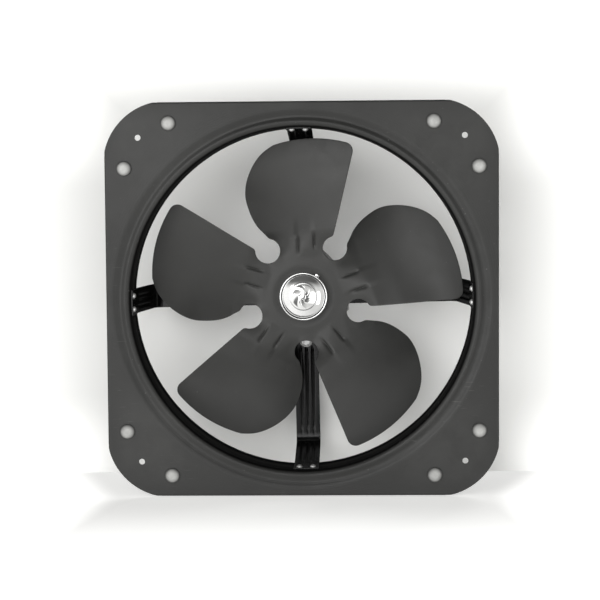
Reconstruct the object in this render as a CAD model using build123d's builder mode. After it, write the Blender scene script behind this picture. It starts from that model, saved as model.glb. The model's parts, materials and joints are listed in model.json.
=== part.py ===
from build123d import *
import os
from math import cos, sin, radians, tan, atan2, degrees, hypot

# Ring-mounted exhaust hood fan, 12 inch (300 mm class) sweep.
# Frame: the fan axis is Y.  The inlet side with the chrome cap faces -Y, the
# motor is on the +Y side, +Z is up.  The origin is the centre of the four
# mounting holes, on the front face of the plate.  Millimetres.

# ---------------------------------------------------------------- dimensions
PLATE_W = 369.0            # across, X
PLATE_H = 371.4            # up, Z
PLATE_T = 1.2
CORNER_IN = 59.2           # centre of each corner arc, in from both edges
CORNER_R = 60.4
FOLD_D = 10.0              # depth of the folded-back edge on the straight sides
FOLD_R = 2.2               # outside radius of that fold
HOLE_PITCH = 305.5         # the four mounting holes, a square
HOLE_R = 2.8

COLLAR_R = 161.8           # inside of the air ring
COLLAR_Y = 46.0            # rear edge of the ring
CREST_R = 167.0            # top of the rolled bead around the ring
CREST_H = 1.0              # how far that bead stands in front of the plate
GROOVE_R = 171.6           # bottom of the shallow dish outside the bead
GROOVE_D = 1.05
DISH_R = 179.5             # where that dish leaves the flat of the plate

BUFFER_POS = [(124.0, 166.0), (166.0, 124.0)]
BUFFER_R = 7.3             # head of the rubber buffer
BUFFER_H = 4.4
BUFFER_STEM_R = 4.0

ARM_TURN = 0.9             # the cross of arms sits turned this much, degrees
ARM_W = 24.0
ARM_T = 1.6
ARM_Y = 116.0              # front face of the radial stretch of each arm
ARM_KNEE_R = 151.3         # where the slanted and the radial stretch would meet
ARM_BEND = 9.0
FLUTE_PITCH = 6.1
FLUTE_D = 1.9
RIVET_Y = 12.5
RIVET_PITCH = 12.9

EAR_R = 48.0               # bolt circle radius of the motor ears
EAR_TOP = 54.5
SHELL_R = 41.0             # outside of the motor shell
STATOR_R = 38.5
ROTOR_R = 24.0
AIR_GAP = 0.5
FLANGE_APOTHEM = 43.3
SHIELD_SPLIT = 96.0        # where front and rear shield meet
SHIELD_FRONT = 74.0        # flat front of the motor
NOSE_FRONT = 69.6

SHAFT_R = 4.0
SHAFT_FRONT = 44.6
BEARING_FRONT = 71.2
BEARING_REAR = 108.0
BEARING_W = 7.0

HUB_Y = 59.0               # middle of the sheet at the hub
SHEET_T = 1.4              # blade sheet
BLADE_ANGLE = 92.4         # centre line of the first blade, from +X towards +Z
BLADE_COUNT = 5
TIP_R = 152.4
PITCH_ROOT = 24.5          # blade pitch, degrees
SLOT_AT = 55.6             # round end of the slot between two blades
SLOT_R = 11.8
BOSS_R = 21.5              # raised middle of the hub
BOSS_FRONT = 54.0
CAP_R = 23.4
CAP_FRONT = 40.6

os.makedirs("parts", exist_ok=True)


# ------------------------------------------------------------------- helpers
def er(a):
    """Outward direction at angle a, from +X towards +Z."""
    return Vector(cos(radians(a)), 0, sin(radians(a)))


def et(a):
    """Direction square to er(a), the way the angle grows."""
    return Vector(-sin(radians(a)), 0, cos(radians(a)))


def face_plane(y, a=0.0):
    """Plane across the axis at y: local x outward at a, normal to the front."""
    return Plane(origin=(0, y, 0), x_dir=er(a), z_dir=(0, -1, 0))


def side_plane(a):
    """Plane through the axis at angle a: local x is the radius, local y is Y."""
    return Plane(origin=(0, 0, 0), x_dir=er(a), z_dir=et(a))


def at(a, r, y, t=0.0):
    v = er(a) * r + et(a) * t
    return Vector(v.X, y, v.Z)


Y_AXIS = Axis((0, 0, 0), (0, 1, 0))
ARM_NAMES = ["right", "top", "left", "bottom"]
ARM_ANGLES = [ARM_TURN + 90 * k for k in range(4)]
BOLT_ANGLES = [ARM_TURN + 45 + 90 * k for k in range(4)]
RIVET_STEP = degrees(RIVET_PITCH / 2 / 161.0)
parts = {}


def keep(name, built):
    built.part.label = name
    parts[name] = built.part
    export_step(built.part, "parts/" + name + ".step")


# ------------------------------------------------------------ mounting plate
# One pressing: a flat plate with its straight edges folded back, and the air
# ring drawn out of it behind a rolled bead.
half_w, half_h = PLATE_W / 2, PLATE_H / 2
reach = (CORNER_R**2 - CORNER_IN**2) ** 0.5
flat_x = half_w - CORNER_IN + reach    # half length of the straight top edge
flat_z = half_h - CORNER_IN + reach    # half height of the straight side edge
mid = CORNER_R * cos(radians(45))

bead_front = [
    (DISH_R, 0.0),
    (177.0, 0.22),
    (174.0, 0.75),
    (GROOVE_R, GROOVE_D),
    (170.2, 0.75),
    (168.6, -0.35),
    (CREST_R, -CREST_H),
    (165.2, -0.72),
    (163.6, 0.45),
    (COLLAR_R + 0.42, 2.4),
    (COLLAR_R, 5.0),
]
bead_back = [
    (COLLAR_R + PLATE_T, 5.0),
    (163.4, 3.0),
    (164.3, 1.45),
    (165.5, 0.5),
    (CREST_R, -CREST_H + PLATE_T),
    (168.0, 0.58),
    (169.5, 1.78),
    (GROOVE_R - 0.2, GROOVE_D + PLATE_T),
    (174.2, 0.75 + PLATE_T),
    (177.2, 0.2 + PLATE_T),
    (DISH_R, PLATE_T),
]

with BuildPart() as mounting_plate:
    with BuildSketch(face_plane(0)):
        with BuildLine():
            Line((-flat_x, half_h), (flat_x, half_h))
            ThreePointArc(
                (flat_x, half_h),
                (half_w - CORNER_IN + mid, half_h - CORNER_IN + mid),
                (half_w, flat_z),
            )
            Line((half_w, flat_z), (half_w, -flat_z))
            ThreePointArc(
                (half_w, -flat_z),
                (half_w - CORNER_IN + mid, -half_h + CORNER_IN - mid),
                (flat_x, -half_h),
            )
            Line((flat_x, -half_h), (-flat_x, -half_h))
            ThreePointArc(
                (-flat_x, -half_h),
                (-half_w + CORNER_IN - mid, -half_h + CORNER_IN - mid),
                (-half_w, -flat_z),
            )
            Line((-half_w, -flat_z), (-half_w, flat_z))
            ThreePointArc(
                (-half_w, flat_z),
                (-half_w + CORNER_IN - mid, half_h - CORNER_IN + mid),
                (-flat_x, half_h),
            )
        make_face()
    extrude(amount=-PLATE_T)
    # the four folded edges
    with BuildSketch(face_plane(0)):
        for sx in (-1, 1):
            with Locations((sx * (half_w - PLATE_T / 2), 0)):
                Rectangle(PLATE_T, 2 * flat_z - 6)
        for sz in (-1, 1):
            with Locations((0, sz * (half_h - PLATE_T / 2))):
                Rectangle(2 * flat_x - 6, PLATE_T)
    extrude(amount=-FOLD_D)
    # the opening for the ring, then the bead and the ring itself
    with BuildSketch(face_plane(0)):
        Circle(DISH_R)
    extrude(amount=-PLATE_T, mode=Mode.SUBTRACT)
    with BuildSketch(Plane.XY):
        with BuildLine():
            Spline(*bead_front)
            Polyline(
                (COLLAR_R, 5.0),
                (COLLAR_R, 33.0),
                (COLLAR_R + 0.7, 34.6),
                (COLLAR_R + 0.7, 36.4),
                (COLLAR_R, 38.0),
                (COLLAR_R, COLLAR_Y),
                (COLLAR_R + PLATE_T, COLLAR_Y),
                (COLLAR_R + PLATE_T, 38.4),
                (COLLAR_R + PLATE_T + 0.7, 36.8),
                (COLLAR_R + PLATE_T + 0.7, 34.2),
                (COLLAR_R + PLATE_T, 32.6),
                (COLLAR_R + PLATE_T, 5.0),
            )
            Spline(*bead_back)
            Line(bead_back[-1], bead_front[0])
        make_face()
    revolve(axis=Y_AXIS)
    # soften the fold
    fold_edges = mounting_plate.edges().filter_by(GeomType.LINE).filter_by(
        lambda e: abs(e.center().Y) < 1e-4
        and e.length > 200
        and (
            abs(abs(e.center().X) - half_w) < 1e-3
            or abs(abs(e.center().Z) - half_h) < 1e-3
        )
    )
    fillet(fold_edges, radius=FOLD_R)
    # mounting holes, buffer holes
    with BuildSketch(face_plane(0)):
        with GridLocations(HOLE_PITCH, HOLE_PITCH, 2, 2):
            Circle(HOLE_R)
        for bx, bz in BUFFER_POS:
            with GridLocations(2 * bx, 2 * bz, 2, 2):
                Circle(BUFFER_STEM_R)
    extrude(amount=-PLATE_T, mode=Mode.SUBTRACT)
    # rivet holes through the ring
    for a in ARM_ANGLES:
        for s in (-1, 1):
            b = a + s * RIVET_STEP
            with BuildSketch(Plane(origin=at(b, 155, RIVET_Y), z_dir=er(b))):
                Circle(2.0)
            extrude(amount=12, mode=Mode.SUBTRACT)
keep("mounting_plate", mounting_plate)

# ------------------------------------------------------------ rubber buffers
# Push-in domed buffers: head in front, neck through the plate, lip behind it.
with BuildPart() as rubber_buffers:
    for bx, bz in BUFFER_POS:
        for sx in (-1, 1):
            for sz in (-1, 1):
                o = (sx * bx, 0, sz * bz)
                with BuildSketch(Plane(origin=o, x_dir=(1, 0, 0), z_dir=(0, 0, 1))):
                    with BuildLine():
                        Line((0, 7.2), (0, -BUFFER_H))
                        Line((0, -BUFFER_H), (2.2, -BUFFER_H))
                        ThreePointArc(
                            (2.2, -BUFFER_H),
                            (BUFFER_R - 1.25, -BUFFER_H + 1.25),
                            (BUFFER_R, -0.9),
                        )
                        Polyline(
                            (BUFFER_R, -0.9),
                            (BUFFER_R - 0.2, 0),
                            (BUFFER_STEM_R, 0),
                            (BUFFER_STEM_R, PLATE_T),
                            (5.4, PLATE_T),
                            (5.2, 2.6),
                            (2.6, 7.2),
                            (0, 7.2),
                        )
                    make_face()
                revolve(axis=Axis(o, (0, 1, 0)))
keep("rubber_buffers", rubber_buffers)

# -------------------------------------------------------------- support arms
# Pressed strips: a foot curved to the inside of the ring, a slanted leg going
# back, a bend, and a radial stretch that ends on an ear of the motor.  Three
# flutes stiffen the leg and the radial stretch.
leg_start = Vector(COLLAR_R - ARM_T / 2, COLLAR_Y + 0.8)
knee = Vector(ARM_KNEE_R, ARM_Y + ARM_T / 2)
h = ARM_T / 2


def strip_section():
    """Closed outline of the fluted strip: x across it, y to its outer side."""
    outer, inner = [], []
    for c in (-FLUTE_PITCH, 0.0, FLUTE_PITCH):
        inner += [(c - 1.7, -h), (c - 0.6, -h + FLUTE_D), (c + 0.6, -h + FLUTE_D), (c + 1.7, -h)]
        outer += [(c - 2.3, h), (c - 1.2, h + FLUTE_D), (c + 1.2, h + FLUTE_D), (c + 2.3, h)]
    w = ARM_W / 2
    return [(-w, -h)] + inner + [(w, -h), (w, h)] + outer[::-1] + [(-w, h)]


for name, a in zip(ARM_NAMES, ARM_ANGLES):
    with BuildPart() as support_arm:
        with BuildLine(side_plane(a)) as route:
            FilletPolyline(
                (leg_start.X, leg_start.Y), (knee.X, knee.Y), (60.0, knee.Y), radius=ARM_BEND
            )
        run = er(a) * (knee.X - leg_start.X) + Vector(0, knee.Y - leg_start.Y, 0)
        with BuildSketch(
            Plane(origin=at(a, leg_start.X, leg_start.Y), x_dir=et(a), z_dir=run)
        ):
            with BuildLine():
                Polyline(*strip_section(), close=True)
            make_face()
        sweep(path=route.wire())
        # foot, curved to the ring
        with BuildSketch(face_plane(5.4, a)):
            Circle(COLLAR_R)
            Circle(COLLAR_R - ARM_T, mode=Mode.SUBTRACT)
            with Locations((COLLAR_R, 0)):
                Rectangle(20, ARM_W, mode=Mode.INTERSECT)
        extrude(amount=-(COLLAR_Y + 1.6 - 5.4))
        # flat tongue under the motor ear
        with BuildSketch(face_plane(ARM_Y, a)):
            with Locations(((26 + 62) / 2, 0)):
                RectangleRounded(62 - 26, ARM_W, 3.5)
            with Locations((56, 0)):
                Rectangle(12, ARM_W)
        extrude(amount=-ARM_T)
        # bolt hole
        with BuildSketch(face_plane(ARM_Y - 5, a)):
            with Locations((EAR_R, 0)):
                Circle(2.6)
        extrude(amount=-15, mode=Mode.SUBTRACT)
        if name == "top":
            with BuildSketch(face_plane(ARM_Y - 5, a)):
                with Locations((113.0, 0)):
                    Circle(2.0)
            extrude(amount=-15, mode=Mode.SUBTRACT)
        for s in (-1, 1):
            b = a + s * RIVET_STEP
            with BuildSketch(Plane(origin=at(b, 155, RIVET_Y), z_dir=er(b))):
                Circle(2.0)
            extrude(amount=12, mode=Mode.SUBTRACT)
    keep("support_arm_" + name, support_arm)

# ---------------------------------------------------------------- arm rivets
with BuildPart() as arm_rivets:
    for a in ARM_ANGLES:
        for s in (-1, 1):
            b = a + s * RIVET_STEP
            o = at(b, COLLAR_R - ARM_T, RIVET_Y)
            with BuildSketch(Plane(origin=o, x_dir=er(b), z_dir=et(b))):
                with BuildLine():
                    Line((4.2, 0), (-2.4, 0))
                    ThreePointArc((-2.4, 0), (-1.72, 1.95), (-0.04, 3.1))
                    Polyline(
                        (-0.04, 3.1), (-0.04, 2.0), (2.84, 2.0), (2.84, 3.0), (3.9, 2.1), (4.2, 0)
                    )
                make_face()
            revolve(axis=Axis(o, er(b)))
keep("arm_rivets", arm_rivets)

# -------------------------------------------------------- motor front shield
# Die-cast cup: flat face with air slots, nose that holds the front bearing.
with BuildPart() as motor_front_shield:
    with BuildSketch(Plane.XY):
        with BuildLine():
            Polyline(
                (7.0, NOSE_FRONT),
                (14.4, NOSE_FRONT),
                (16.0, NOSE_FRONT + 1.6),
                (16.6, SHIELD_FRONT),
                (SHELL_R - 2.0, SHIELD_FRONT),
            )
            ThreePointArc(
                (SHELL_R - 2.0, SHIELD_FRONT),
                (SHELL_R - 2.0 + 2.0 * cos(radians(45)), SHIELD_FRONT + 2.0 - 2.0 * sin(radians(45))),
                (SHELL_R, SHIELD_FRONT + 2.0),
            )
            Polyline(
                (SHELL_R, SHIELD_FRONT + 2.0),
                (SHELL_R, SHIELD_SPLIT),
                (STATOR_R, SHIELD_SPLIT),
                (STATOR_R, SHIELD_FRONT + 3.0),
                (16.6, SHIELD_FRONT + 3.0),
                (16.0, BEARING_FRONT + BEARING_W + 0.5),
                (11.0, BEARING_FRONT + BEARING_W + 0.5),
                (11.0, BEARING_FRONT),
                (7.0, BEARING_FRONT),
                (7.0, NOSE_FRONT),
            )
        make_face()
    revolve(axis=Y_AXIS)
    with BuildSketch(face_plane(SHIELD_FRONT - 1)):
        with PolarLocations(25.5, 8, start_angle=ARM_TURN + 22.5):
            SlotOverall(11, 4.6)
    extrude(amount=-6, mode=Mode.SUBTRACT)
    with BuildSketch(face_plane(SHIELD_FRONT - 1)):
        with PolarLocations(35.2, 4, start_angle=ARM_TURN + 45):
            Circle(2.05)
    extrude(amount=-6, mode=Mode.SUBTRACT)
keep("motor_front_shield", motor_front_shield)

# --------------------------------------------------------- motor rear shield
# Die-cast cup with an eight-sided flange and four ears for the arms.
GLAND_AT = (-135.0 + ARM_TURN, 25.6)
LEAD_AT = (45.0 + ARM_TURN, 27.0)
EARTH_AT = (-45.0 + ARM_TURN, 27.0)
with BuildPart() as motor_rear_shield:
    with BuildSketch(Plane.XY):
        with BuildLine():
            Polyline(
                (0, 118.6),
                (14.6, 118.6),
                (16.0, 117.4),
                (16.0, ARM_Y),
                (SHELL_R, ARM_Y),
                (SHELL_R, SHIELD_SPLIT),
                (STATOR_R, SHIELD_SPLIT),
                (STATOR_R, 112.0),
                (16.0, 112.0),
                (15.0, BEARING_REAR - 0.4),
                (11.0, BEARING_REAR - 0.4),
                (11.0, BEARING_REAR + BEARING_W + 1.0),
                (0, BEARING_REAR + BEARING_W + 1.0),
                (0, 118.6),
            )
        make_face()
    revolve(axis=Y_AXIS)
    with BuildSketch(face_plane(108.0, ARM_TURN)):
        RegularPolygon(FLANGE_APOTHEM, 8, major_radius=False, rotation=22.5)
        Circle(SHELL_R - 1.0, mode=Mode.SUBTRACT)
        with PolarLocations(0, 4):
            with Locations(((EAR_TOP + 41) / 2 - 3.25, 0)):
                Rectangle(EAR_TOP - 41 - 6.5, 13)
            with Locations((EAR_TOP - 6.5, 0)):
                Circle(6.5)
    extrude(amount=-(ARM_Y - 108.0))
    with BuildSketch(face_plane(100, ARM_TURN)):
        with PolarLocations(EAR_R, 4):
            Circle(2.6)
    extrude(amount=-20, mode=Mode.SUBTRACT)
    with BuildSketch(face_plane(111, ARM_TURN)):
        with PolarLocations(35.2, 4, start_angle=45):
            Circle(1.9)
    extrude(amount=-4.0, mode=Mode.SUBTRACT)
    # ways in for the supply cable and for the capacitor leads, earth hole
    for (a, r), hole in ((GLAND_AT, 5.0), (LEAD_AT, 4.0), (EARTH_AT, 2.0)):
        with BuildSketch(face_plane(111, a)):
            with Locations((r, 0)):
                Circle(hole)
        extrude(amount=-8, mode=Mode.SUBTRACT)
keep("motor_rear_shield", motor_rear_shield)

# ---------------------------------------------------------------- motor core
with BuildPart() as stator_core:
    with BuildSketch(face_plane(84.0, ARM_TURN)):
        Circle(STATOR_R)
        Circle(ROTOR_R + AIR_GAP, mode=Mode.SUBTRACT)
        with PolarLocations(0, 12, start_angle=15):
            with Locations((29.5, 0)):
                Rectangle(6.0, 4.4, mode=Mode.SUBTRACT)
            with Locations((25.5, 0)):
                Rectangle(4.0, 1.8, mode=Mode.SUBTRACT)
        with PolarLocations(0, 4, start_angle=45):
            with Locations((36.4, 0)):
                Rectangle(6.6, 4.4, mode=Mode.SUBTRACT)
    extrude(amount=-20.0)
keep("stator_core", stator_core)

with BuildPart() as stator_windings:
    with BuildSketch(face_plane(84.0, ARM_TURN)):
        with PolarLocations(0, 12, start_angle=15):
            with Locations((29.5, 0)):
                Rectangle(5.6, 4.0)
    extrude(amount=-20.0)
    for y0, dy in ((79.2, 4.8), (104.0, 4.6)):
        with BuildSketch(face_plane(y0)):
            Circle(33.0)
            Circle(26.2, mode=Mode.SUBTRACT)
        extrude(amount=-dy)
    ends = (
        stator_windings.edges()
        .filter_by(GeomType.CIRCLE)
        .filter_by(lambda e: abs(e.center().Y - 79.2) < 1e-3 or abs(e.center().Y - 108.6) < 1e-3)
    )
    fillet(ends, radius=1.8)
keep("stator_windings", stator_windings)

with BuildPart() as rotor_core:
    with BuildSketch(face_plane(84.0)):
        Circle(ROTOR_R)
        Circle(SHAFT_R, mode=Mode.SUBTRACT)
    extrude(amount=-20.0)
keep("rotor_core", rotor_core)

with BuildPart() as rotor_end_rings:
    for y0 in (81.5, 104.0):
        with BuildSketch(face_plane(y0)):
            Circle(22.5)
            Circle(13.0, mode=Mode.SUBTRACT)
        extrude(amount=-2.5)
keep("rotor_end_rings", rotor_end_rings)

# ------------------------------------------------------------ shaft, bearings
with BuildPart() as motor_shaft:
    with BuildSketch(Plane.XY):
        with BuildLine():
            Polyline(
                (0, SHAFT_FRONT),
                (SHAFT_R - 0.8, SHAFT_FRONT),
                (SHAFT_R, SHAFT_FRONT + 0.8),
                (SHAFT_R, BEARING_REAR + BEARING_W - 0.6),
                (SHAFT_R - 0.6, BEARING_REAR + BEARING_W),
                (0, BEARING_REAR + BEARING_W),
                (0, SHAFT_FRONT),
            )
        make_face()
    revolve(axis=Y_AXIS)
keep("motor_shaft", motor_shaft)

BALL_PITCH, BALL_R, RACE_R = 7.5, 1.8, 2.0
with BuildPart() as bearing_inner_races:
    for y0 in (BEARING_FRONT, BEARING_REAR):
        with BuildSketch(Plane.XY):
            with Locations(((SHAFT_R + 6.0) / 2, y0 + BEARING_W / 2)):
                Rectangle(6.0 - SHAFT_R, BEARING_W)
            with Locations((BALL_PITCH, y0 + BEARING_W / 2)):
                Circle(RACE_R, mode=Mode.SUBTRACT)
        revolve(axis=Y_AXIS)
keep("bearing_inner_races", bearing_inner_races)

with BuildPart() as bearing_outer_races:
    for y0 in (BEARING_FRONT, BEARING_REAR):
        with BuildSketch(Plane.XY):
            with Locations(((9.0 + 11.0) / 2, y0 + BEARING_W / 2)):
                Rectangle(2.0, BEARING_W)
            with Locations((BALL_PITCH, y0 + BEARING_W / 2)):
                Circle(RACE_R, mode=Mode.SUBTRACT)
        revolve(axis=Y_AXIS)
keep("bearing_outer_races", bearing_outer_races)

with BuildPart() as bearing_balls:
    for y0 in (BEARING_FRONT, BEARING_REAR):
        for k in range(7):
            p = at(k * 360 / 7, BALL_PITCH, y0 + BEARING_W / 2)
            with Locations(p):
                Sphere(BALL_R)
keep("bearing_balls", bearing_balls)

with BuildPart() as bearing_cages:
    for y0 in (BEARING_FRONT, BEARING_REAR):
        with BuildSketch(face_plane(y0 + BEARING_W / 2 - 2.3)):
            Circle(8.1)
            Circle(6.9, mode=Mode.SUBTRACT)
        extrude(amount=-4.6)
    for y0 in (BEARING_FRONT, BEARING_REAR):
        for k in range(7):
            a = k * 360 / 7
            with BuildSketch(Plane(origin=at(a, 5, y0 + BEARING_W / 2), z_dir=er(a))):
                Circle(BALL_R + 0.06)
            extrude(amount=5, mode=Mode.SUBTRACT)
keep("bearing_cages", bearing_cages)

with BuildPart() as bearing_preload_washer:
    with BuildSketch(face_plane(BEARING_REAR + BEARING_W)):
        Circle(10.6)
        Circle(9.1, mode=Mode.SUBTRACT)
    extrude(amount=-1.0)
keep("bearing_preload_washer", bearing_preload_washer)

# --------------------------------------------------------- motor long screws
with BuildPart() as motor_through_bolts:
    for a in BOLT_ANGLES:
        o = at(a, 35.2, 0)
        with BuildSketch(Plane(origin=o, x_dir=er(a), z_dir=et(a))):
            with BuildLine():
                Line((0, 115.0), (0, SHIELD_FRONT - 2.4))
                Line((0, SHIELD_FRONT - 2.4), (1.6, SHIELD_FRONT - 2.4))
                ThreePointArc(
                    (1.6, SHIELD_FRONT - 2.4), (2.75, SHIELD_FRONT - 1.7), (3.3, SHIELD_FRONT)
                )
                Polyline(
                    (3.3, SHIELD_FRONT), (1.9, SHIELD_FRONT), (1.9, 114.4), (1.4, 115.0), (0, 115.0)
                )
            make_face()
        revolve(axis=Axis(o, (0, 1, 0)))
    for a in BOLT_ANGLES:
        with BuildSketch(face_plane(SHIELD_FRONT - 2.4, a)):
            with Locations((35.2, 0)):
                Rectangle(0.9, 4.2)
                Rectangle(4.2, 0.9)
        extrude(amount=-1.2, mode=Mode.SUBTRACT)
keep("motor_through_bolts", motor_through_bolts)

# ------------------------------------------------------------ arm fasteners
EAR_FRONT = 108.0
with BuildPart() as arm_bolts:
    for a in ARM_ANGLES:
        with BuildSketch(face_plane(EAR_FRONT, a)):
            with Locations((EAR_R, 0)):
                RegularPolygon(4.0, 6, major_radius=False)
        extrude(amount=3.5)
        with BuildSketch(face_plane(EAR_FRONT, a)):
            with Locations((EAR_R, 0)):
                Circle(2.5)
        extrude(amount=-17.4)
    rims = arm_bolts.faces().sort_by(Axis.Y)[:4].edges()
    chamfer(rims, length=0.5)
keep("arm_bolts", arm_bolts)

with BuildPart() as arm_spring_washers:
    for a in ARM_ANGLES:
        with BuildSketch(face_plane(ARM_Y + ARM_T, a)):
            with Locations((EAR_R, 0)):
                Circle(4.5)
                Circle(2.55, mode=Mode.SUBTRACT)
                with Locations((3.5, 0)):
                    Rectangle(3.0, 0.8, mode=Mode.SUBTRACT)
        extrude(amount=-1.3)
keep("arm_spring_washers", arm_spring_washers)

with BuildPart() as arm_nuts:
    for a in ARM_ANGLES:
        with BuildSketch(face_plane(ARM_Y + ARM_T + 1.3, a)):
            with Locations((EAR_R, 0)):
                RegularPolygon(4.0, 6, major_radius=False)
                Circle(2.5, mode=Mode.SUBTRACT)
        extrude(amount=-4.0)
keep("arm_nuts", arm_nuts)

# ---------------------------------------------------------------- fan blade
# One stamping.  In blade coordinates u runs outward along the blade's centre
# line and v across it; the straight leading edge is on the -v side and stands
# forward, the round trailing lobe is on the +v side and lies back.
LEAD_ROOT, LEAD_TIP = (54.2, -30.7), (143.6, -56.2)
LEAD_NECK, LOBE_NECK = (56.1, -31.2), (56.0, 31.0)
LOBE = [
    (54.4, 29.3), (61.3, 35.9), (67.2, 41.4), (73.8, 45.8), (81.1, 49.1), (88.9, 51.5),
    (97.1, 53.1), (106.3, 52.7), (115.6, 50.2), (125.2, 45.8), (134.0, 39.9), (141.4, 32.4),
    (147.4, 22.5),
]


def smooth(t):
    t = max(0.0, min(1.0, t))
    return t * t * (3 - 2 * t)


def blade_pitch(u):
    return (
        PITCH_ROOT * smooth((u - 37.0) / 29.0)
        - 8.5 * smooth((u - 84.0) / 42.0)
        - 1.5 * smooth((u - 120.0) / 35.0)
    )


def blade_mid(u):
    return HUB_Y + 3.0 * smooth((u - 40.0) / 40.0) - 3.5 * smooth((u - 92.0) / 50.0)


def blade_bow(u):
    return 0.03 + 3.2 * smooth((u - 42.0) / 30.0)


def sheet_section(u, rear, front):
    """Outline of the bowed sheet at radius u, between two offsets from its middle."""
    w, s = 66.0, blade_bow(u)
    b = blade_pitch(u)
    across = et(BLADE_ANGLE) * cos(radians(b)) + Vector(0, sin(radians(b)), 0)
    plane = Plane(
        origin=at(BLADE_ANGLE, u, blade_mid(u)), x_dir=across, z_dir=er(BLADE_ANGLE)
    )
    # local y of this plane points to the front of the fan
    with BuildSketch(plane) as outline:
        with BuildLine():
            ThreePointArc((-w, front - s), (0, front + s * 0.35), (w, front - s))
            Line((w, front - s), (w, rear - s))
            ThreePointArc((w, rear - s), (0, rear + s * 0.35), (-w, rear - s))
            Line((-w, rear - s), (-w, front - s))
        make_face()
    return outline


def front_sign():
    p = Plane(origin=(0, 0, 0), x_dir=et(BLADE_ANGLE), z_dir=er(BLADE_ANGLE))
    return -1 if p.y_dir.Y > 0 else 1


STATIONS = [30, 36, 41, 46, 51, 56, 61, 66, 74, 84, 96, 110, 125, 140, 156]
t2 = SHEET_T / 2
lobe_end = LOBE[-1]
with BuildPart() as one_blade:
    for u in STATIONS:
        add(sheet_section(u, -t2, t2).sketch)
    loft()
    with BuildSketch(face_plane(20, BLADE_ANGLE)) as blade_shape:
        with BuildLine():
            Polyline(
                LOBE[0], (45.0, 32.7), (28.0, 20.3), (28.0, -20.3), (45.0, -32.7), LEAD_ROOT, LEAD_TIP
            )
            ThreePointArc(LEAD_TIP, (TIP_R * cos(radians(4)), -TIP_R * sin(radians(4))), lobe_end)
            Spline(*LOBE)
        make_face()
        fillet(blade_shape.vertices().sort_by_distance(LEAD_TIP)[0], radius=8.5)
        with Locations((45.0, 32.7), (45.0, -32.7)):
            Circle(SLOT_R, mode=Mode.SUBTRACT)
        fillet(blade_shape.vertices().sort_by_distance(LEAD_NECK)[0], radius=4.0)
        fillet(blade_shape.vertices().sort_by_distance(LOBE_NECK)[0], radius=7.0)
    extrude(amount=-95, mode=Mode.INTERSECT)
print("one blade", one_blade.part.volume, one_blade.part.is_valid, one_blade.part.bounding_box())

with BuildPart() as fan_blade:
    with BuildSketch(face_plane(HUB_Y - 1.0)):
        Circle(45.5)
        Circle(BOSS_R - 1.2, mode=Mode.SUBTRACT)
    extrude(amount=-2.0)
    for k in range(BLADE_COUNT):
        add(one_blade.part.rotate(Y_AXIS, 72.0 * k))
    with BuildSketch(face_plane(20, BLADE_ANGLE + 36)):
        with PolarLocations(SLOT_AT, BLADE_COUNT):
            Circle(SLOT_R)
    extrude(amount=-95, mode=Mode.SUBTRACT)
    # raised middle
    with BuildSketch(face_plane(BOSS_FRONT)):
        Circle(BOSS_R)
        Circle(SHAFT_R, mode=Mode.SUBTRACT)
        with PolarLocations(14.5, 4, start_angle=45):
            Circle(2.0, mode=Mode.SUBTRACT)
    extrude(amount=-1.5)
    with BuildSketch(face_plane(BOSS_FRONT)):
        Circle(BOSS_R)
        Circle(BOSS_R - 1.5, mode=Mode.SUBTRACT)
    extrude(amount=-(HUB_Y + 1.0 - BOSS_FRONT))
print("fan blade", fan_blade.part.volume, fan_blade.part.is_valid, len(fan_blade.part.solids()))
keep("fan_blade", fan_blade)

# ------------------------------------------------------------------ hub stack
with BuildPart() as hub_boss:
    with BuildSketch(face_plane(BOSS_FRONT + 1.5)):
        Circle(19.4)
        Circle(SHAFT_R, mode=Mode.SUBTRACT)
        with PolarLocations(14.5, 4, start_angle=45):
            Circle(2.0, mode=Mode.SUBTRACT)
    extrude(amount=-3.0)
    with BuildSketch(face_plane(BOSS_FRONT + 4.5)):
        Circle(10.0)
        Circle(SHAFT_R, mode=Mode.SUBTRACT)
    extrude(amount=-(69.0 - BOSS_FRONT - 4.5))
    with BuildSketch(Plane(origin=(0, 63.5, 0), z_dir=er(BLADE_ANGLE))):
        Circle(2.0)
    extrude(amount=12, mode=Mode.SUBTRACT)
keep("hub_boss", hub_boss)

with BuildPart() as hub_set_screw:
    with BuildSketch(Plane(origin=at(BLADE_ANGLE, SHAFT_R, 63.5), z_dir=er(BLADE_ANGLE))):
        Circle(2.0)
    extrude(amount=5.6)
    with BuildSketch(Plane(origin=at(BLADE_ANGLE, SHAFT_R + 3.6, 63.5), z_dir=er(BLADE_ANGLE))):
        RegularPolygon(1.0, 6, major_radius=False)
    extrude(amount=3, mode=Mode.SUBTRACT)
keep("hub_set_screw", hub_set_screw)

with BuildPart() as hub_rivets:
    for k in range(4):
        a = 45 + 90 * k
        o = at(a, 14.5, 0)
        with BuildSketch(Plane(origin=o, x_dir=er(a), z_dir=et(a))):
            with BuildLine():
                Line((0, 60.0), (0, BOSS_FRONT - 1.6))
                ThreePointArc((0, BOSS_FRONT - 1.6), (2.3, BOSS_FRONT - 1.05), (3.4, BOSS_FRONT))
                Polyline((3.4, BOSS_FRONT), (2.0, BOSS_FRONT), (2.0, 58.5), (3.2, 58.5), (2.6, 59.8), (0, 60.0))
            make_face()
        revolve(axis=Axis(o, (0, 1, 0)))
keep("hub_rivets", hub_rivets)

with BuildPart() as shaft_washer:
    with BuildSketch(face_plane(BOSS_FRONT - 1.2)):
        Circle(8.5)
        Circle(SHAFT_R + 0.15, mode=Mode.SUBTRACT)
    extrude(amount=-1.2)
keep("shaft_washer", shaft_washer)

with BuildPart() as shaft_nut:
    with BuildSketch(face_plane(BOSS_FRONT - 1.2)):
        RegularPolygon(6.5, 6, major_radius=False)
        Circle(SHAFT_R, mode=Mode.SUBTRACT)
    extrude(amount=6.2)
keep("shaft_nut", shaft_nut)

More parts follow.
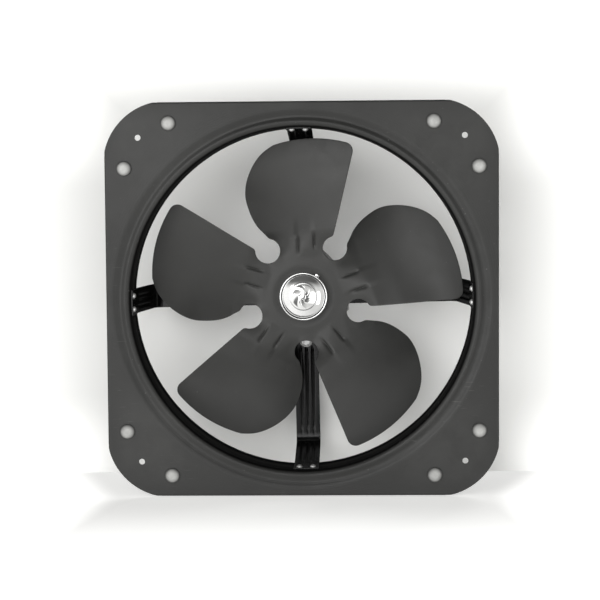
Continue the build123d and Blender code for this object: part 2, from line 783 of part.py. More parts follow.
# ----------------------------------------------------------------- chrome cap
# Spun cap that snaps over the raised middle of the hub: a rolled rim, a
# groove, a shallow dome and a round flat on its top.
TAB_ANGLE = 56.2
with BuildPart() as chrome_cap:
    with BuildSketch(Plane.XY):
        with BuildLine():
            Line((0, CAP_FRONT), (11.6, CAP_FRONT + 0.45))
            ThreePointArc((11.6, CAP_FRONT + 0.45), (16.9, CAP_FRONT + 2.0), (20.3, CAP_FRONT + 5.2))
            Line((20.3, CAP_FRONT + 5.2), (20.9, CAP_FRONT + 7.0))
            ThreePointArc((20.9, CAP_FRONT + 7.0), (22.5, CAP_FRONT + 6.6), (CAP_R, CAP_FRONT + 8.2))
            Polyline(
                (CAP_R, CAP_FRONT + 8.2),
                (CAP_R, HUB_Y - 1.6),
                (BOSS_R, HUB_Y - 1.6),
                (BOSS_R, BOSS_FRONT - 2.6),
                (19.9, BOSS_FRONT - 3.4),
                (19.1, CAP_FRONT + 7.0),
            )
            ThreePointArc((19.1, CAP_FRONT + 7.0), (15.8, CAP_FRONT + 3.3), (11.2, CAP_FRONT + 1.6))
            Line((11.2, CAP_FRONT + 1.6), (0, CAP_FRONT + 1.2))
            Line((0, CAP_FRONT + 1.2), (0, CAP_FRONT))
        make_face()
    revolve(axis=Y_AXIS)
    with BuildSketch(face_plane(CAP_FRONT + 9.4, TAB_ANGLE)):
        with Locations((CAP_R, 0)):
            RectangleRounded(4.4, 4.2, 1.0)
        Circle(BOSS_R + 0.2, mode=Mode.SUBTRACT)
    extrude(amount=-2.2)
keep("chrome_cap", chrome_cap)

# --------------------------------------------------- capacitor and terminals
TOP = ARM_ANGLES[1]
CAP_BASE = ARM_Y + ARM_T + FLUTE_D
with BuildPart() as capacitor_bracket:
    with BuildSketch(face_plane(CAP_BASE, TOP)):
        with Locations(((68 + 118) / 2, 0)):
            RectangleRounded(118 - 68, 13, 3.0)
        with Locations((113.0, 0)):
            Circle(2.1, mode=Mode.SUBTRACT)
    extrude(amount=-1.0)
keep("capacitor_bracket", capacitor_bracket)

with BuildPart() as capacitor:
    with BuildSketch(face_plane(CAP_BASE + 1.0, TOP)):
        with Locations(((68 + 105) / 2, 0)):
            RectangleRounded(105 - 68, 22, 2.0)
    extrude(amount=-13.0)
    top_rim = capacitor.faces().sort_by(Axis.Y)[-1].edges()
    fillet(top_rim, radius=1.2)
keep("capacitor", capacitor)

with BuildPart() as capacitor_screw:
    with BuildSketch(face_plane(CAP_BASE + 1.0, TOP)):
        with Locations((113.0, 0)):
            Circle(3.6)
    extrude(amount=-2.4)
    head = capacitor_screw.faces().sort_by(Axis.Y)[-1].edges()
    fillet(head, radius=1.1)
    with BuildSketch(face_plane(CAP_BASE + 1.0, TOP)):
        with Locations((113.0, 0)):
            Circle(1.95)
    extrude(amount=9.4)
    with BuildSketch(face_plane(CAP_BASE + 3.4, TOP)):
        with Locations((113.0, 0)):
            Rectangle(0.9, 4.6)
            Rectangle(4.6, 0.9)
    extrude(amount=1.2, mode=Mode.SUBTRACT)
keep("capacitor_screw", capacitor_screw)

with BuildPart() as capacitor_nut:
    with BuildSketch(face_plane(ARM_Y, TOP)):
        with Locations((113.0, 0)):
            RegularPolygon(3.5, 6, major_radius=False)
            Circle(1.95, mode=Mode.SUBTRACT)
    extrude(amount=3.0)
keep("capacitor_nut", capacitor_nut)

# rubber bush in the lead hole, leads from it to the capacitor
la, lr = LEAD_AT
with BuildPart() as lead_bush:
    o = at(la, lr, 0)
    with BuildSketch(Plane(origin=o, x_dir=er(la), z_dir=et(la))):
        with BuildLine():
            Polyline(
                (3.1, 110.9), (5.2, 110.9), (5.2, 112.0), (4.0, 112.0), (4.0, ARM_Y), (5.8, ARM_Y),
                (5.5, 117.6), (3.1, 118.0), close=True,
            )
        make_face()
    revolve(axis=Axis(o, (0, 1, 0)))
keep("lead_bush", lead_bush)

LEAD_R = 1.1
p_bush = at(la, lr, 0)
with BuildPart() as capacitor_leads:
    for s in (-1, 1):
        bx, bz = p_bush.X + s * 1.25, p_bush.Z - s * 0.75
        end = at(TOP, 68.0, CAP_BASE + 8.0, -s * 5.0)
        near = at(TOP, 60.0, CAP_BASE + 8.0, -s * 5.0 )
        pts = [
            (end.X, end.Y, end.Z),
            (near.X, near.Y, near.Z),
            (8.0 + s * 2.2, 126.5, 47.0),
            (14.5 + s * 2.0, 127.0, 33.5),
            (bx, 124.0, bz),
            (bx, 112.6, bz),
        ]
        with BuildLine() as lead:
            FilletPolyline(*pts, radius=4.0)
        w = lead.wire()
        with BuildSketch(Plane(origin=w @ 0, z_dir=w % 0)):
            Circle(LEAD_R)
        sweep(path=w)
        print("lead length", w.length, "volume ratio", capacitor_leads.part.volume / (3.14159 * LEAD_R**2 * w.length))
keep("capacitor_leads", capacitor_leads)

# supply cable gland: a tapered rubber bush, open for the cable
ga, gr = GLAND_AT
with BuildPart() as cable_gland:
    o = at(ga, gr, 0)
    with BuildSketch(Plane(origin=o, x_dir=er(ga), z_dir=et(ga))):
        with BuildLine():
            Polyline(
                (3.3, 110.4), (6.4, 110.4), (6.4, 112.0), (5.0, 112.0), (5.0, ARM_Y), (7.6, ARM_Y),
                (7.4, 118.4), (5.9, 119.4), (4.9, 130.0), (3.3, 130.0), close=True,
            )
        make_face()
    revolve(axis=Axis(o, (0, 1, 0)))
keep("cable_gland", cable_gland)
print("gland at", at(ga, gr, 0))

# earth terminal
ea, erad = EARTH_AT
with BuildPart() as earth_washer:
    with BuildSketch(face_plane(ARM_Y, ea)):
        with Locations((erad, 0)):
            Circle(4.6)
            Circle(2.1, mode=Mode.SUBTRACT)
    extrude(amount=-0.9)
keep("earth_washer", earth_washer)

with BuildPart() as earth_screw:
    with BuildSketch(face_plane(ARM_Y + 0.9, ea)):
        with Locations((erad, 0)):
            Circle(3.8)
    extrude(amount=-2.6)
    head = earth_screw.faces().sort_by(Axis.Y)[-1].edges()
    fillet(head, radius=1.2)
    with BuildSketch(face_plane(ARM_Y + 0.9, ea)):
        with Locations((erad, 0)):
            Circle(1.95)
    extrude(amount=5.5)
    with BuildSketch(face_plane(ARM_Y + 3.5, ea)):
        with Locations((erad, 0)):
            Rectangle(0.9, 5.2)
    extrude(amount=1.3, mode=Mode.SUBTRACT)
keep("earth_screw", earth_screw)

total = Compound(children=list(parts.values()))
box = total.bounding_box()
print("nodes", len(parts), "box", box.min, box.max)
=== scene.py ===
import json
import math

import bpy
import numpy as np
from mathutils import Matrix, Vector
from mathutils.geometry import delaunay_2d_cdt


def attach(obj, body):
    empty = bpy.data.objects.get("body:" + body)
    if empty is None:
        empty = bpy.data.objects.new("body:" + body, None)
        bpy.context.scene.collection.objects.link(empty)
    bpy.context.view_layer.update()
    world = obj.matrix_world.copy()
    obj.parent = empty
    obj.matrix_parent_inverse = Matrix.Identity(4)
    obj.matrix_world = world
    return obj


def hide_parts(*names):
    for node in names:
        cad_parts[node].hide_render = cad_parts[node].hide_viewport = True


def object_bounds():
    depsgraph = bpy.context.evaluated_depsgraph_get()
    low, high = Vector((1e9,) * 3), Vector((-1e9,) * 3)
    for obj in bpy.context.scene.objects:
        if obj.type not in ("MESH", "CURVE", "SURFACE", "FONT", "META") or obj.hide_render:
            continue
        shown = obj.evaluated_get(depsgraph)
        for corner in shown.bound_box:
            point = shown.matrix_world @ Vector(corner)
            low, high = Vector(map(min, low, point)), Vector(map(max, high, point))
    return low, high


# Ring-mounted exhaust hood fan.  The fan axis is Y: the chrome cap and the
# inlet side face -Y, the motor is on the +Y side, +Z is up.  Metres, except
# inside the mesh helpers, which work in millimetres and scale at the end.

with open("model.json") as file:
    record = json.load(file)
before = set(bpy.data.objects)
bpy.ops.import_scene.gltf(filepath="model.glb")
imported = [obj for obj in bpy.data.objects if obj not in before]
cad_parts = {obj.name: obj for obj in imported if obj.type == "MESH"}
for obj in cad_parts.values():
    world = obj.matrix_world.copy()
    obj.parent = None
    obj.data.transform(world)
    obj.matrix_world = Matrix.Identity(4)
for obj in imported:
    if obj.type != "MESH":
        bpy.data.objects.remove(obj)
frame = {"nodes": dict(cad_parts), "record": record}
cad_low, cad_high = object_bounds()
N = frame["nodes"]
scene = bpy.context.scene
MM = 0.001


# ------------------------------------------------------------------ the camera
def look(yaw, pitch, roll):
    cx, sx = math.cos(pitch), math.sin(pitch)
    cy, sy = math.cos(roll), math.sin(roll)
    cz, sz = math.cos(yaw), math.sin(yaw)
    about_z = Matrix(((cz, -sz, 0), (sz, cz, 0), (0, 0, 1)))
    about_x = Matrix(((1, 0, 0), (0, cx, -sx), (0, sx, cx)))
    about_y = Matrix(((cy, 0, sy), (0, 1, 0), (-sy, 0, cy)))
    turn = about_z @ about_x @ about_y
    right, forward, up = turn.col[0], turn.col[1], turn.col[2]
    m = Matrix((
        (right[0], up[0], -forward[0]),
        (right[1], up[1], -forward[1]),
        (right[2], up[2], -forward[2]),
    ))
    return m.to_4x4()


cam_data = bpy.data.cameras.new("camera")
cam = bpy.data.objects.new("camera", cam_data)
scene.collection.objects.link(cam)
cam_data.lens = 102.55
cam_data.sensor_width = 36.0
cam_data.clip_start = 0.05
cam_data.clip_end = 60.0
cam.matrix_world = Matrix.Translation((0.045, -1.600, 0.104)) @ look(0.0293, -0.0650, 0.0079)
scene.camera = cam
scene.view_settings.view_transform = "Standard"


# ---------------------------------------------------------------- node helpers
class Tree:
    """Short calls to build a shader tree."""

    def __init__(self, name):
        self.mat = bpy.data.materials.new(name)
        self.mat.use_nodes = True
        self.nt = self.mat.node_tree
        self.nt.nodes.clear()
        self.out = self.nt.nodes.new("ShaderNodeOutputMaterial")
        self.bsdf = self.nt.nodes.new("ShaderNodeBsdfPrincipled")
        self.nt.links.new(self.bsdf.outputs[0], self.out.inputs[0])
        self.coord = self.nt.nodes.new("ShaderNodeTexCoord").outputs["Object"]

    def link(self, a, b):
        self.nt.links.new(a, b)

    def noise(self, scale, detail=3.0, rough=0.55, vector=None, distortion=0.0):
        n = self.nt.nodes.new("ShaderNodeTexNoise")
        n.inputs["Scale"].default_value = scale
        n.inputs["Detail"].default_value = detail
        n.inputs["Roughness"].default_value = rough
        n.inputs["Distortion"].default_value = distortion
        self.link(vector if vector is not None else self.coord, n.inputs["Vector"])
        return n.outputs["Fac"]

    def voronoi(self, scale, vector=None, feature="F1"):
        n = self.nt.nodes.new("ShaderNodeTexVoronoi")
        n.feature = feature
        n.inputs["Scale"].default_value = scale
        self.link(vector if vector is not None else self.coord, n.inputs["Vector"])
        return n.outputs["Distance"]

    def mapping(self, scale=(1, 1, 1), rotation=(0, 0, 0), location=(0, 0, 0)):
        n = self.nt.nodes.new("ShaderNodeMapping")
        n.inputs["Scale"].default_value = scale
        n.inputs["Rotation"].default_value = rotation
        n.inputs["Location"].default_value = location
        self.link(self.coord, n.inputs["Vector"])
        return n.outputs[0]

    def span(self, value, a, b, c, d, smooth=False):
        n = self.nt.nodes.new("ShaderNodeMapRange")
        n.interpolation_type = "SMOOTHSTEP" if smooth else "LINEAR"
        n.inputs["From Min"].default_value = a
        n.inputs["From Max"].default_value = b
        n.inputs["To Min"].default_value = c
        n.inputs["To Max"].default_value = d
        self.link(value, n.inputs["Value"])
        return n.outputs[0]

    def math(self, op, a, b=None):
        n = self.nt.nodes.new("ShaderNodeMath")
        n.operation = op
        for i, v in enumerate((a, b)):
            if v is None:
                continue
            if isinstance(v, (int, float)):
                n.inputs[i].default_value = v
            else:
                self.link(v, n.inputs[i])
        return n.outputs[0]

    def mix(self, fac, a, b):
        n = self.nt.nodes.new("ShaderNodeMix")
        n.data_type = "RGBA"
        n.clamp_factor = True
        self.link(fac, n.inputs[0])
        for i, v in ((6, a), (7, b)):
            if isinstance(v, tuple):
                n.inputs[i].default_value = (*v, 1.0)
            else:
                self.link(v, n.inputs[i])
        return n.outputs[2]

    def xyz(self):
        n = self.nt.nodes.new("ShaderNodeSeparateXYZ")
        self.link(self.coord, n.inputs[0])
        return n.outputs

    def bevel(self, radius):
        n = self.nt.nodes.new("ShaderNodeBevel")
        n.samples = 4
        n.inputs["Radius"].default_value = radius
        return n.outputs[0]

    def edge_mask(self, radius, low=0.02, high=0.25):
        """1 on edges, 0 on flats."""
        soft = self.bevel(radius)
        g = self.nt.nodes.new("ShaderNodeNewGeometry")
        d = self.nt.nodes.new("ShaderNodeVectorMath")
        d.operation = "DOT_PRODUCT"
        self.link(soft, d.inputs[0])
        self.link(g.outputs["Normal"], d.inputs[1])
        away = self.math("SUBTRACT", 1.0, d.outputs["Value"])
        return self.span(away, low, high, 0.0, 1.0)

    def bump(self, height, strength, distance, normal=None):
        n = self.nt.nodes.new("ShaderNodeBump")
        n.inputs["Strength"].default_value = strength
        n.inputs["Distance"].default_value = distance
        self.link(height, n.inputs["Height"])
        if normal is not None:
            self.link(normal, n.inputs["Normal"])
        return n.outputs[0]

    def set(self, **kw):
        for k, v in kw.items():
            s = self.bsdf.inputs[k.replace("_", " ")]
            if isinstance(v, tuple):
                s.default_value = (*v, 1.0) if len(v) == 3 and s.type == "RGBA" else v
            elif isinstance(v, (int, float)):
                s.default_value = v
            else:
                self.link(v, s)
        return self


# ------------------------------------------------------------------- materials
def paint_plate():
    """Satin dark grey coat on the pressed plate: cloudy, a little dusty, with
    faint rub marks; painted shade makes it darker towards the edges, on the middles of the sides and on the wall of
    the ring, with one painted highlight line round that wall."""
    t = Tree("plate_paint")
    x, y, z = t.xyz()
    cloud = t.noise(13.0, 4.0, 0.6)
    patch = t.noise(48.0, 3.0, 0.6, distortion=0.6)
    grain = t.noise(1500.0, 2.0, 0.6)
    ax, az = t.math("ABSOLUTE", x), t.math("ABSOLUTE", z)
    rim = t.math("MAXIMUM", ax, az)
    rim = t.span(rim, 0.164, 0.184, 1.0, 0.0, True)
    tone = t.math("ADD", t.span(cloud, 0.32, 0.68, 0.0, 0.62), t.span(patch, 0.35, 0.65, 0.0, 0.38))
    # painted shade: darker towards the outer edges of the plate
    tone = t.math("MULTIPLY", tone, t.span(rim, 0.0, 1.0, 0.25, 1.0))
    # painted shade: darker on the narrow middles of the four sides
    tone = t.math("MULTIPLY", tone, t.span(t.math("MINIMUM", ax, az), 0.050, 0.125, 0.0, 1.0, True))
    col = t.mix(tone, (0.0165, 0.0165, 0.0155), (0.0355, 0.0355, 0.0338))
    # painted shade: the wall of the ring is painted near black, with one painted highlight line on it
    radius = t.math("SQRT", t.math("ADD", t.math("MULTIPLY", x, x), t.math("MULTIPLY", z, z)))
    skin = t.math("MAXIMUM", t.math("SUBTRACT", 0.165, y), 0.16275)
    inner = t.span(t.math("SUBTRACT", radius, skin), -0.0001, 0.0001, 1.0, 0.0)
    ring = t.math("MULTIPLY", t.span(y, 0.0000, 0.0017, 0.0, 1.0, True), inner)
    col = t.mix(ring, col, (0.0022, 0.0022, 0.0021))
    # painted highlight: a paler line round the wall of the ring
    roll = t.math("MULTIPLY", t.span(y, 0.0175, 0.0205, 0.0, 1.0, True), t.span(y, 0.0245, 0.0275, 1.0, 0.0, True))
    col = t.mix(t.math("MULTIPLY", roll, inner), col, (0.016, 0.016, 0.0153))
    # rub marks: thin, short, light
    line = t.noise(60.0, 2.0, 0.5, t.mapping((1.0, 1.0, 14.0), (0, 0.5, 0)))
    keep = t.noise(9.0, 2.0, 0.5, t.mapping(location=(3.1, 0, 1.7)))
    rub = t.math("MULTIPLY", t.span(line, 0.66, 0.74, 0.0, 1.0), t.span(keep, 0.55, 0.64, 0.0, 1.0))
    speck = t.span(t.noise(420.0, 1.0, 0.5), 0.765, 0.80, 0.0, 1.0)
    marks = t.math("MULTIPLY", t.math("MAXIMUM", rub, speck), 0.45)
    col = t.mix(marks, col, (0.15, 0.15, 0.145))
    edge = t.edge_mask(0.0005)
    col = t.mix(t.math("MULTIPLY", edge, 0.15), col, (0.12, 0.12, 0.115))
    rough = t.span(patch, 0.3, 0.7, 0.44, 0.54)
    soft = t.bevel(0.0004)
    # the pressed step round the ring, and faint turning lines beside it
    step = t.bump(t.span(radius, 0.1716, 0.1782, 0.0, 1.0, True), 1.0, 0.0013, soft)
    lines = t.nt.nodes.new("ShaderNodeMath")
    lines.operation = "SINE"
    t.link(t.math("MULTIPLY", radius, 2900.0), lines.inputs[0])
    near = t.math("MULTIPLY", t.span(radius, 0.168, 0.172, 0.0, 1.0), t.span(radius, 0.188, 0.200, 1.0, 0.0))
    turned = t.bump(t.math("MULTIPLY", lines.outputs[0], near), 0.14, 0.00012, step)
    wave = t.bump(t.noise(24.0, 2.0, 0.5), 0.45, 0.0016, turned)
    fine = t.bump(grain, 0.10, 0.00015, wave)
    shine = t.span(ring, 0.0, 1.0, 0.47, 0.12)
    return t.set(Base_Color=col, Roughness=rough, Normal=fine, Specular_IOR_Level=shine).mat


def paint_blade():
    """The same coat on the impeller, smoother and evener."""
    t = Tree("blade_paint")
    cloud = t.noise(16.0, 4.0, 0.6)
    patch = t.noise(70.0, 3.0, 0.6, distortion=0.5)
    grain = t.noise(1700.0, 2.0, 0.6)
    tone = t.math("ADD", t.span(cloud, 0.3, 0.7, 0.0, 0.7), t.span(patch, 0.35, 0.65, 0.0, 0.3))
    col = t.mix(tone, (0.0262, 0.0262, 0.0249), (0.0355, 0.0355, 0.0337))
    speck = t.span(t.noise(380.0, 1.0, 0.5), 0.775, 0.80, 0.0, 0.3)
    col = t.mix(speck, col, (0.13, 0.13, 0.125))
    edge = t.edge_mask(0.0005)
    col = t.mix(t.math("MULTIPLY", edge, 0.12), col, (0.12, 0.12, 0.115))
    rough = t.span(patch, 0.3, 0.7, 0.44, 0.53)
    wave = t.bump(t.noise(20.0, 2.0, 0.5), 0.15, 0.001)
    fine = t.bump(grain, 0.09, 0.00015, wave)
    return t.set(Base_Color=col, Roughness=rough, Normal=fine, Specular_IOR_Level=0.48).mat


def enamel():
    """Black gloss enamel on the arms, with orange peel and thin dust."""
    t = Tree("arm_enamel")
    peel = t.noise(420.0, 2.0, 0.5)
    big = t.noise(60.0, 2.0, 0.5)
    dust = t.span(t.noise(900.0, 3.0, 0.7), 0.62, 0.80, 0.0, 0.30)
    col = t.mix(dust, (0.0022, 0.0022, 0.0022), (0.011, 0.011, 0.0105))
    edge = t.edge_mask(0.0004)
    col = t.mix(t.math("MULTIPLY", edge, 0.10), col, (0.10, 0.10, 0.10))
    rough = t.span(big, 0.3, 0.7, 0.15, 0.23)
    n = t.bump(peel, 0.10, 0.0003, t.bevel(0.0003))
    return t.set(Base_Color=col, Roughness=rough, Normal=n, Specular_IOR_Level=0.32).mat


def rubber(name, dark, light, rough0=0.5, rough1=0.65, rim_shade=None):
    t = Tree(name)
    a = t.noise(130.0, 3.0, 0.6)
    g = t.noise(1200.0, 2.0, 0.6)
    col = t.mix(t.span(a, 0.3, 0.7, 0.0, 1.0), dark, light)
    if rim_shade:
        # painted shade: darker low on the domes, where they meet the plate
        low = t.span(t.xyz()[1], -0.0041, -0.0012, 0.0, 1.0)
        col = t.mix(low, col, rim_shade)
    speck = t.span(t.noise(600.0, 1.0, 0.5), 0.74, 0.79, 0.0, 0.35)
    col = t.mix(speck, col, tuple(c * 0.6 for c in dark))
    rough = t.span(g, 0.3, 0.7, rough0, rough1)
    n = t.bump(g, 0.18, 0.0002, t.bevel(0.0004))
    return t.set(Base_Color=col, Roughness=rough, Normal=n, Specular_IOR_Level=0.35).mat


def metal(name, dark, light, rough0, rough1, grain=900.0, bump=0.08, stretch=None, edge_light=None, bevel=0.0003, patch_scale=60.0):
    t = Tree(name)
    v = t.mapping(stretch) if stretch else None
    g = t.noise(grain, 3.0, 0.6, v)
    p = t.noise(patch_scale, 3.0, 0.6)
    col = t.mix(t.span(p, 0.3, 0.7, 0.0, 1.0), dark, light)
    if edge_light:
        col = t.mix(t.math("MULTIPLY", t.edge_mask(bevel * 1.5), 0.6), col, edge_light)
    rough = t.span(t.math("ADD", t.math("MULTIPLY", g, 0.5), t.math("MULTIPLY", p, 0.5)), 0.35, 0.65, rough0, rough1)
    n = t.bump(g, bump, 0.0003, t.bevel(bevel))
    return t.set(Base_Color=col, Roughness=rough, Normal=n, Metallic=1.0).mat


def chrome(name="chrome", emblem=False):
    t = Tree(name)
    p = t.noise(90.0, 3.0, 0.6)
    hair = t.noise(300.0, 2.0, 0.6, t.mapping((1.0, 1.0, 30.0), (0, 0.7, 0)))
    col = t.mix(t.span(p, 0.3, 0.7, 0.0, 1.0), (0.80, 0.80, 0.795), (0.90, 0.90, 0.895))
    rough = t.math("ADD", t.span(p, 0.3, 0.7, 0.05, 0.11), t.span(hair, 0.62, 0.72, 0.0, 0.08))
    n = t.bump(hair, 0.02, 0.0001)
    if emblem:
        # a plain rosette, etched deeper on one side, inside a fine ring
        x, _, z = t.xyz()
        r = t.math("SQRT", t.math("ADD", t.math("MULTIPLY", x, x), t.math("MULTIPLY", z, z)))
        a = t.math("ARCTAN2", z, x)
        turn = t.math("SUBTRACT", t.math("MULTIPLY", a, 5.0), t.math("MULTIPLY", r, 500.0))
        w = t.math("COSINE", t.math("ADD", turn, 1.5))
        leaf = t.math("MULTIPLY", t.span(w, -0.05, -0.35, 0.0, 1.0, True),
                      t.math("MULTIPLY", t.span(r, 0.0040, 0.0052, 0.0, 1.0), t.span(r, 0.0104, 0.0114, 1.0, 0.0)))
        vein = t.math("MULTIPLY", t.span(t.math("ABSOLUTE", w), 0.0, 0.16, 0.8, 0.0),
                      t.math("MULTIPLY", t.span(r, 0.0030, 0.0040, 0.0, 1.0), t.span(r, 0.0112, 0.0118, 1.0, 0.0)))
        side = t.span(x, -0.0060, 0.0055, 0.95, 0.10, True)
        round_ = t.span(t.math("ABSOLUTE", t.math("SUBTRACT", r, 0.0129)), 0.0002, 0.0008, 0.55, 0.0)
        mask = t.math("MAXIMUM", t.math("MAXIMUM", t.math("MULTIPLY", leaf, side), t.math("MULTIPLY", vein, 0.5)), round_)
        col = t.mix(mask, col, (0.09, 0.09, 0.089))
        rough = t.math("ADD", rough, t.math("MULTIPLY", mask, 0.22))
        # painted shade in the groove behind the rolled rim, which is also rougher there
        groove = t.span(t.math("ABSOLUTE", t.math("SUBTRACT", r, 0.0211)), 0.00035, 0.0008, 0.92, 0.0)
        col = t.mix(groove, col, (0.02, 0.02, 0.0198))
        rough = t.math("ADD", rough, t.math("MULTIPLY", groove, 0.3))
    return t.set(Base_Color=col, Roughness=rough, Normal=n, Metallic=1.0).mat


def cast():
    """Die-cast aluminium: fine sandy skin with slightly darker patches."""
    t = Tree("cast_aluminium")
    g = t.noise(1400.0, 4.0, 0.7)
    p = t.noise(45.0, 4.0, 0.65)
    flow = t.noise(90.0, 3.0, 0.6, t.mapping((1.0, 4.0, 1.0)))
    col = t.mix(t.span(p, 0.3, 0.7, 0.0, 1.0), (0.42, 0.42, 0.415), (0.56, 0.56, 0.55))
    col = t.mix(t.span(flow, 0.55, 0.75, 0.0, 0.4), col, (0.34, 0.34, 0.335))
    col = t.mix(t.math("MULTIPLY", t.edge_mask(0.0005), 0.5), col, (0.74, 0.74, 0.73))
    rough = t.span(g, 0.3, 0.7, 0.36, 0.52)
    n = t.bump(g, 0.22, 0.0003, t.bevel(0.0004))
    return t.set(Base_Color=col, Roughness=rough, Normal=n, Metallic=0.9).mat


def laminations():
    """Stacked sheets: thin lines square to the shaft."""
    t = Tree("lamination_steel")
    w = t.nt.nodes.new("ShaderNodeTexWave")
    w.wave_type, w.bands_direction = "BANDS", "Y"
    w.inputs["Scale"].default_value = 320.0
    w.inputs["Distortion"].default_value = 0.4
    w.inputs["Detail"].default_value = 2.0
    t.link(t.coord, w.inputs["Vector"])
    p = t.noise(80.0, 3.0, 0.6)
    col = t.mix(w.outputs["Fac"], (0.14, 0.14, 0.145), (0.36, 0.36, 0.37))
    col = t.mix(t.span(p, 0.5, 0.75, 0.0, 0.35), col, (0.20, 0.15, 0.11))
    n = t.bump(w.outputs["Fac"], 0.35, 0.0002)
    return t.set(Base_Color=col, Roughness=0.45, Normal=n, Metallic=0.9).mat


def copper():
    """Wound, varnished copper wire."""
    t = Tree("winding_copper")
    w = t.nt.nodes.new("ShaderNodeTexWave")
    w.wave_type, w.rings_direction = "RINGS", "Y"
    w.inputs["Scale"].default_value = 260.0
    w.inputs["Distortion"].default_value = 1.2
    w.inputs["Detail"].default_value = 2.0
    t.link(t.coord, w.inputs["Vector"])
    p = t.noise(70.0, 3.0, 0.6)
    col = t.mix(w.outputs["Fac"], (0.20, 0.07, 0.025), (0.55, 0.23, 0.10))
    col = t.mix(t.span(p, 0.5, 0.8, 0.0, 0.5), col, (0.12, 0.05, 0.02))
    n = t.bump(w.outputs["Fac"], 0.5, 0.0003)
    return t.set(Base_Color=col, Roughness=0.35, Normal=n, Metallic=0.7, Coat_Weight=0.4).mat


def plastic(name, dark, light, rough=(0.35, 0.5), grain=1000.0, bump=0.08):
    t = Tree(name)
    p = t.noise(60.0, 3.0, 0.6)
    g = t.noise(grain, 2.0, 0.6)
    col = t.mix(t.span(p, 0.3, 0.7, 0.0, 1.0), dark, light)
    dirt = t.span(t.noise(260.0, 3.0, 0.7), 0.60, 0.80, 0.0, 0.25)
    col = t.mix(dirt, col, tuple(c * 0.55 for c in dark))
    r = t.span(g, 0.3, 0.7, *rough)
    n = t.bump(g, bump, 0.0002, t.bevel(0.0004))
    return t.set(Base_Color=col, Roughness=r, Normal=n, Specular_IOR_Level=0.45).mat


M = {
    "plate_paint": paint_plate(),
    "blade_paint": paint_blade(),
    "arm_enamel": enamel(),
    # the last colour of the buffer rubber is the painted shade low on the domes
    "buffer_rubber": rubber("buffer_rubber", (0.38, 0.38, 0.37), (0.53, 0.53, 0.515), 0.36, 0.50, (0.055, 0.055, 0.053)),
    "gland_rubber": rubber("gland_rubber", (0.018, 0.018, 0.018), (0.032, 0.032, 0.031)),
    "zinc_steel": metal("zinc_steel", (0.58, 0.58, 0.575), (0.76, 0.76, 0.75), 0.22, 0.38, 700.0, 0.08, None, (0.85, 0.85, 0.84)),
    # painted highlight: the rivets take a brighter, rougher copy of the zinc colour
    "rivet_zinc_painted_highlight": metal("rivet_zinc_painted_highlight", (0.80, 0.80, 0.79), (0.92, 0.92, 0.91), 0.42, 0.55, 700.0, 0.08, None, (0.94, 0.94, 0.93)),
    "bright_steel": metal("bright_steel", (0.52, 0.52, 0.52), (0.64, 0.64, 0.64), 0.16, 0.30, 900.0, 0.06, (1, 12, 1), (0.8, 0.8, 0.8)),
    "lamination_steel": laminations(),
    "cast_aluminium": cast(),
    "chrome": chrome(),
    "cap_chrome": chrome("cap_chrome", True),
    "winding_copper": copper(),
    "brass": metal("brass", (0.55, 0.38, 0.13), (0.68, 0.50, 0.21), 0.24, 0.40, 800.0, 0.08, None, (0.85, 0.68, 0.35)),
    "capacitor_plastic": plastic("capacitor_plastic", (0.62, 0.61, 0.58), (0.72, 0.71, 0.68)),
    "lead_pvc": plastic("lead_pvc", (0.022, 0.022, 0.022), (0.04, 0.04, 0.04)),
}

slot_of = {s["node"]: s["material_slot"] for s in frame["record"]["subparts"]}
for name, obj in N.items():
    m = M["rivet_zinc_painted_highlight" if name == "arm_rivets" else slot_of[name]]
    if obj.data.materials:
        for i in range(len(obj.data.materials)):
            obj.data.materials[i] = m
    else:
        obj.data.materials.append(m)


# ---------------------------------------------------------------- mesh helpers
def new_mesh(name, verts_mm, faces, material):
    me = bpy.data.meshes.new(name)
    me.from_pydata([tuple(MM * c for c in v) for v in verts_mm], [], faces)
    me.validate()
    me.materials.append(M[material])
    ob = bpy.data.objects.new(name, me)
    scene.collection.objects.link(ob)
    return ob


def settle(ob, angle=35.0):
    """Applies the modifiers and sets smooth shading with sharp edges."""
    dg = bpy.context.evaluated_depsgraph_get()
    me = bpy.data.meshes.new_from_object(ob.evaluated_get(dg), preserve_all_data_layers=True, depsgraph=dg)
    old = ob.data
    ob.modifiers.clear()
    ob.data = me
    me.name = old.name
    bpy.data.meshes.remove(old)
    me.polygons.foreach_set("use_smooth", [True] * len(me.polygons))
    me.set_sharp_from_angle(angle=math.radians(angle))
    return ob


def weld(ob, distance):
    import bmesh
    bm = bmesh.new()
    bm.from_mesh(ob.data)
    bmesh.ops.remove_doubles(bm, verts=bm.verts, dist=distance)
    bmesh.ops.recalc_face_normals(bm, faces=bm.faces)
    bm.to_mesh(ob.data)
    bm.free()


def smooth(t):
    t = np.clip(t, 0.0, 1.0)
    return t * t * (3 - 2 * t)


# ------------------------------------------------------------------- impeller
HUB_Y, SHEET_T, BLADE_ANGLE, TIP_R = 59.0, 1.4, 92.4, 152.4
SLOT_C, SLOT_R = (44.98, 32.68), 11.8
LOBE = [
    (54.4, 29.3), (61.3, 35.9), (67.2, 41.4), (73.8, 45.8), (81.1, 49.1), (88.9, 51.5),
    (97.1, 53.1), (106.3, 52.7), (115.6, 50.2), (125.2, 45.8), (134.0, 39.9), (141.4, 32.4),
    (147.4, 22.5),
]


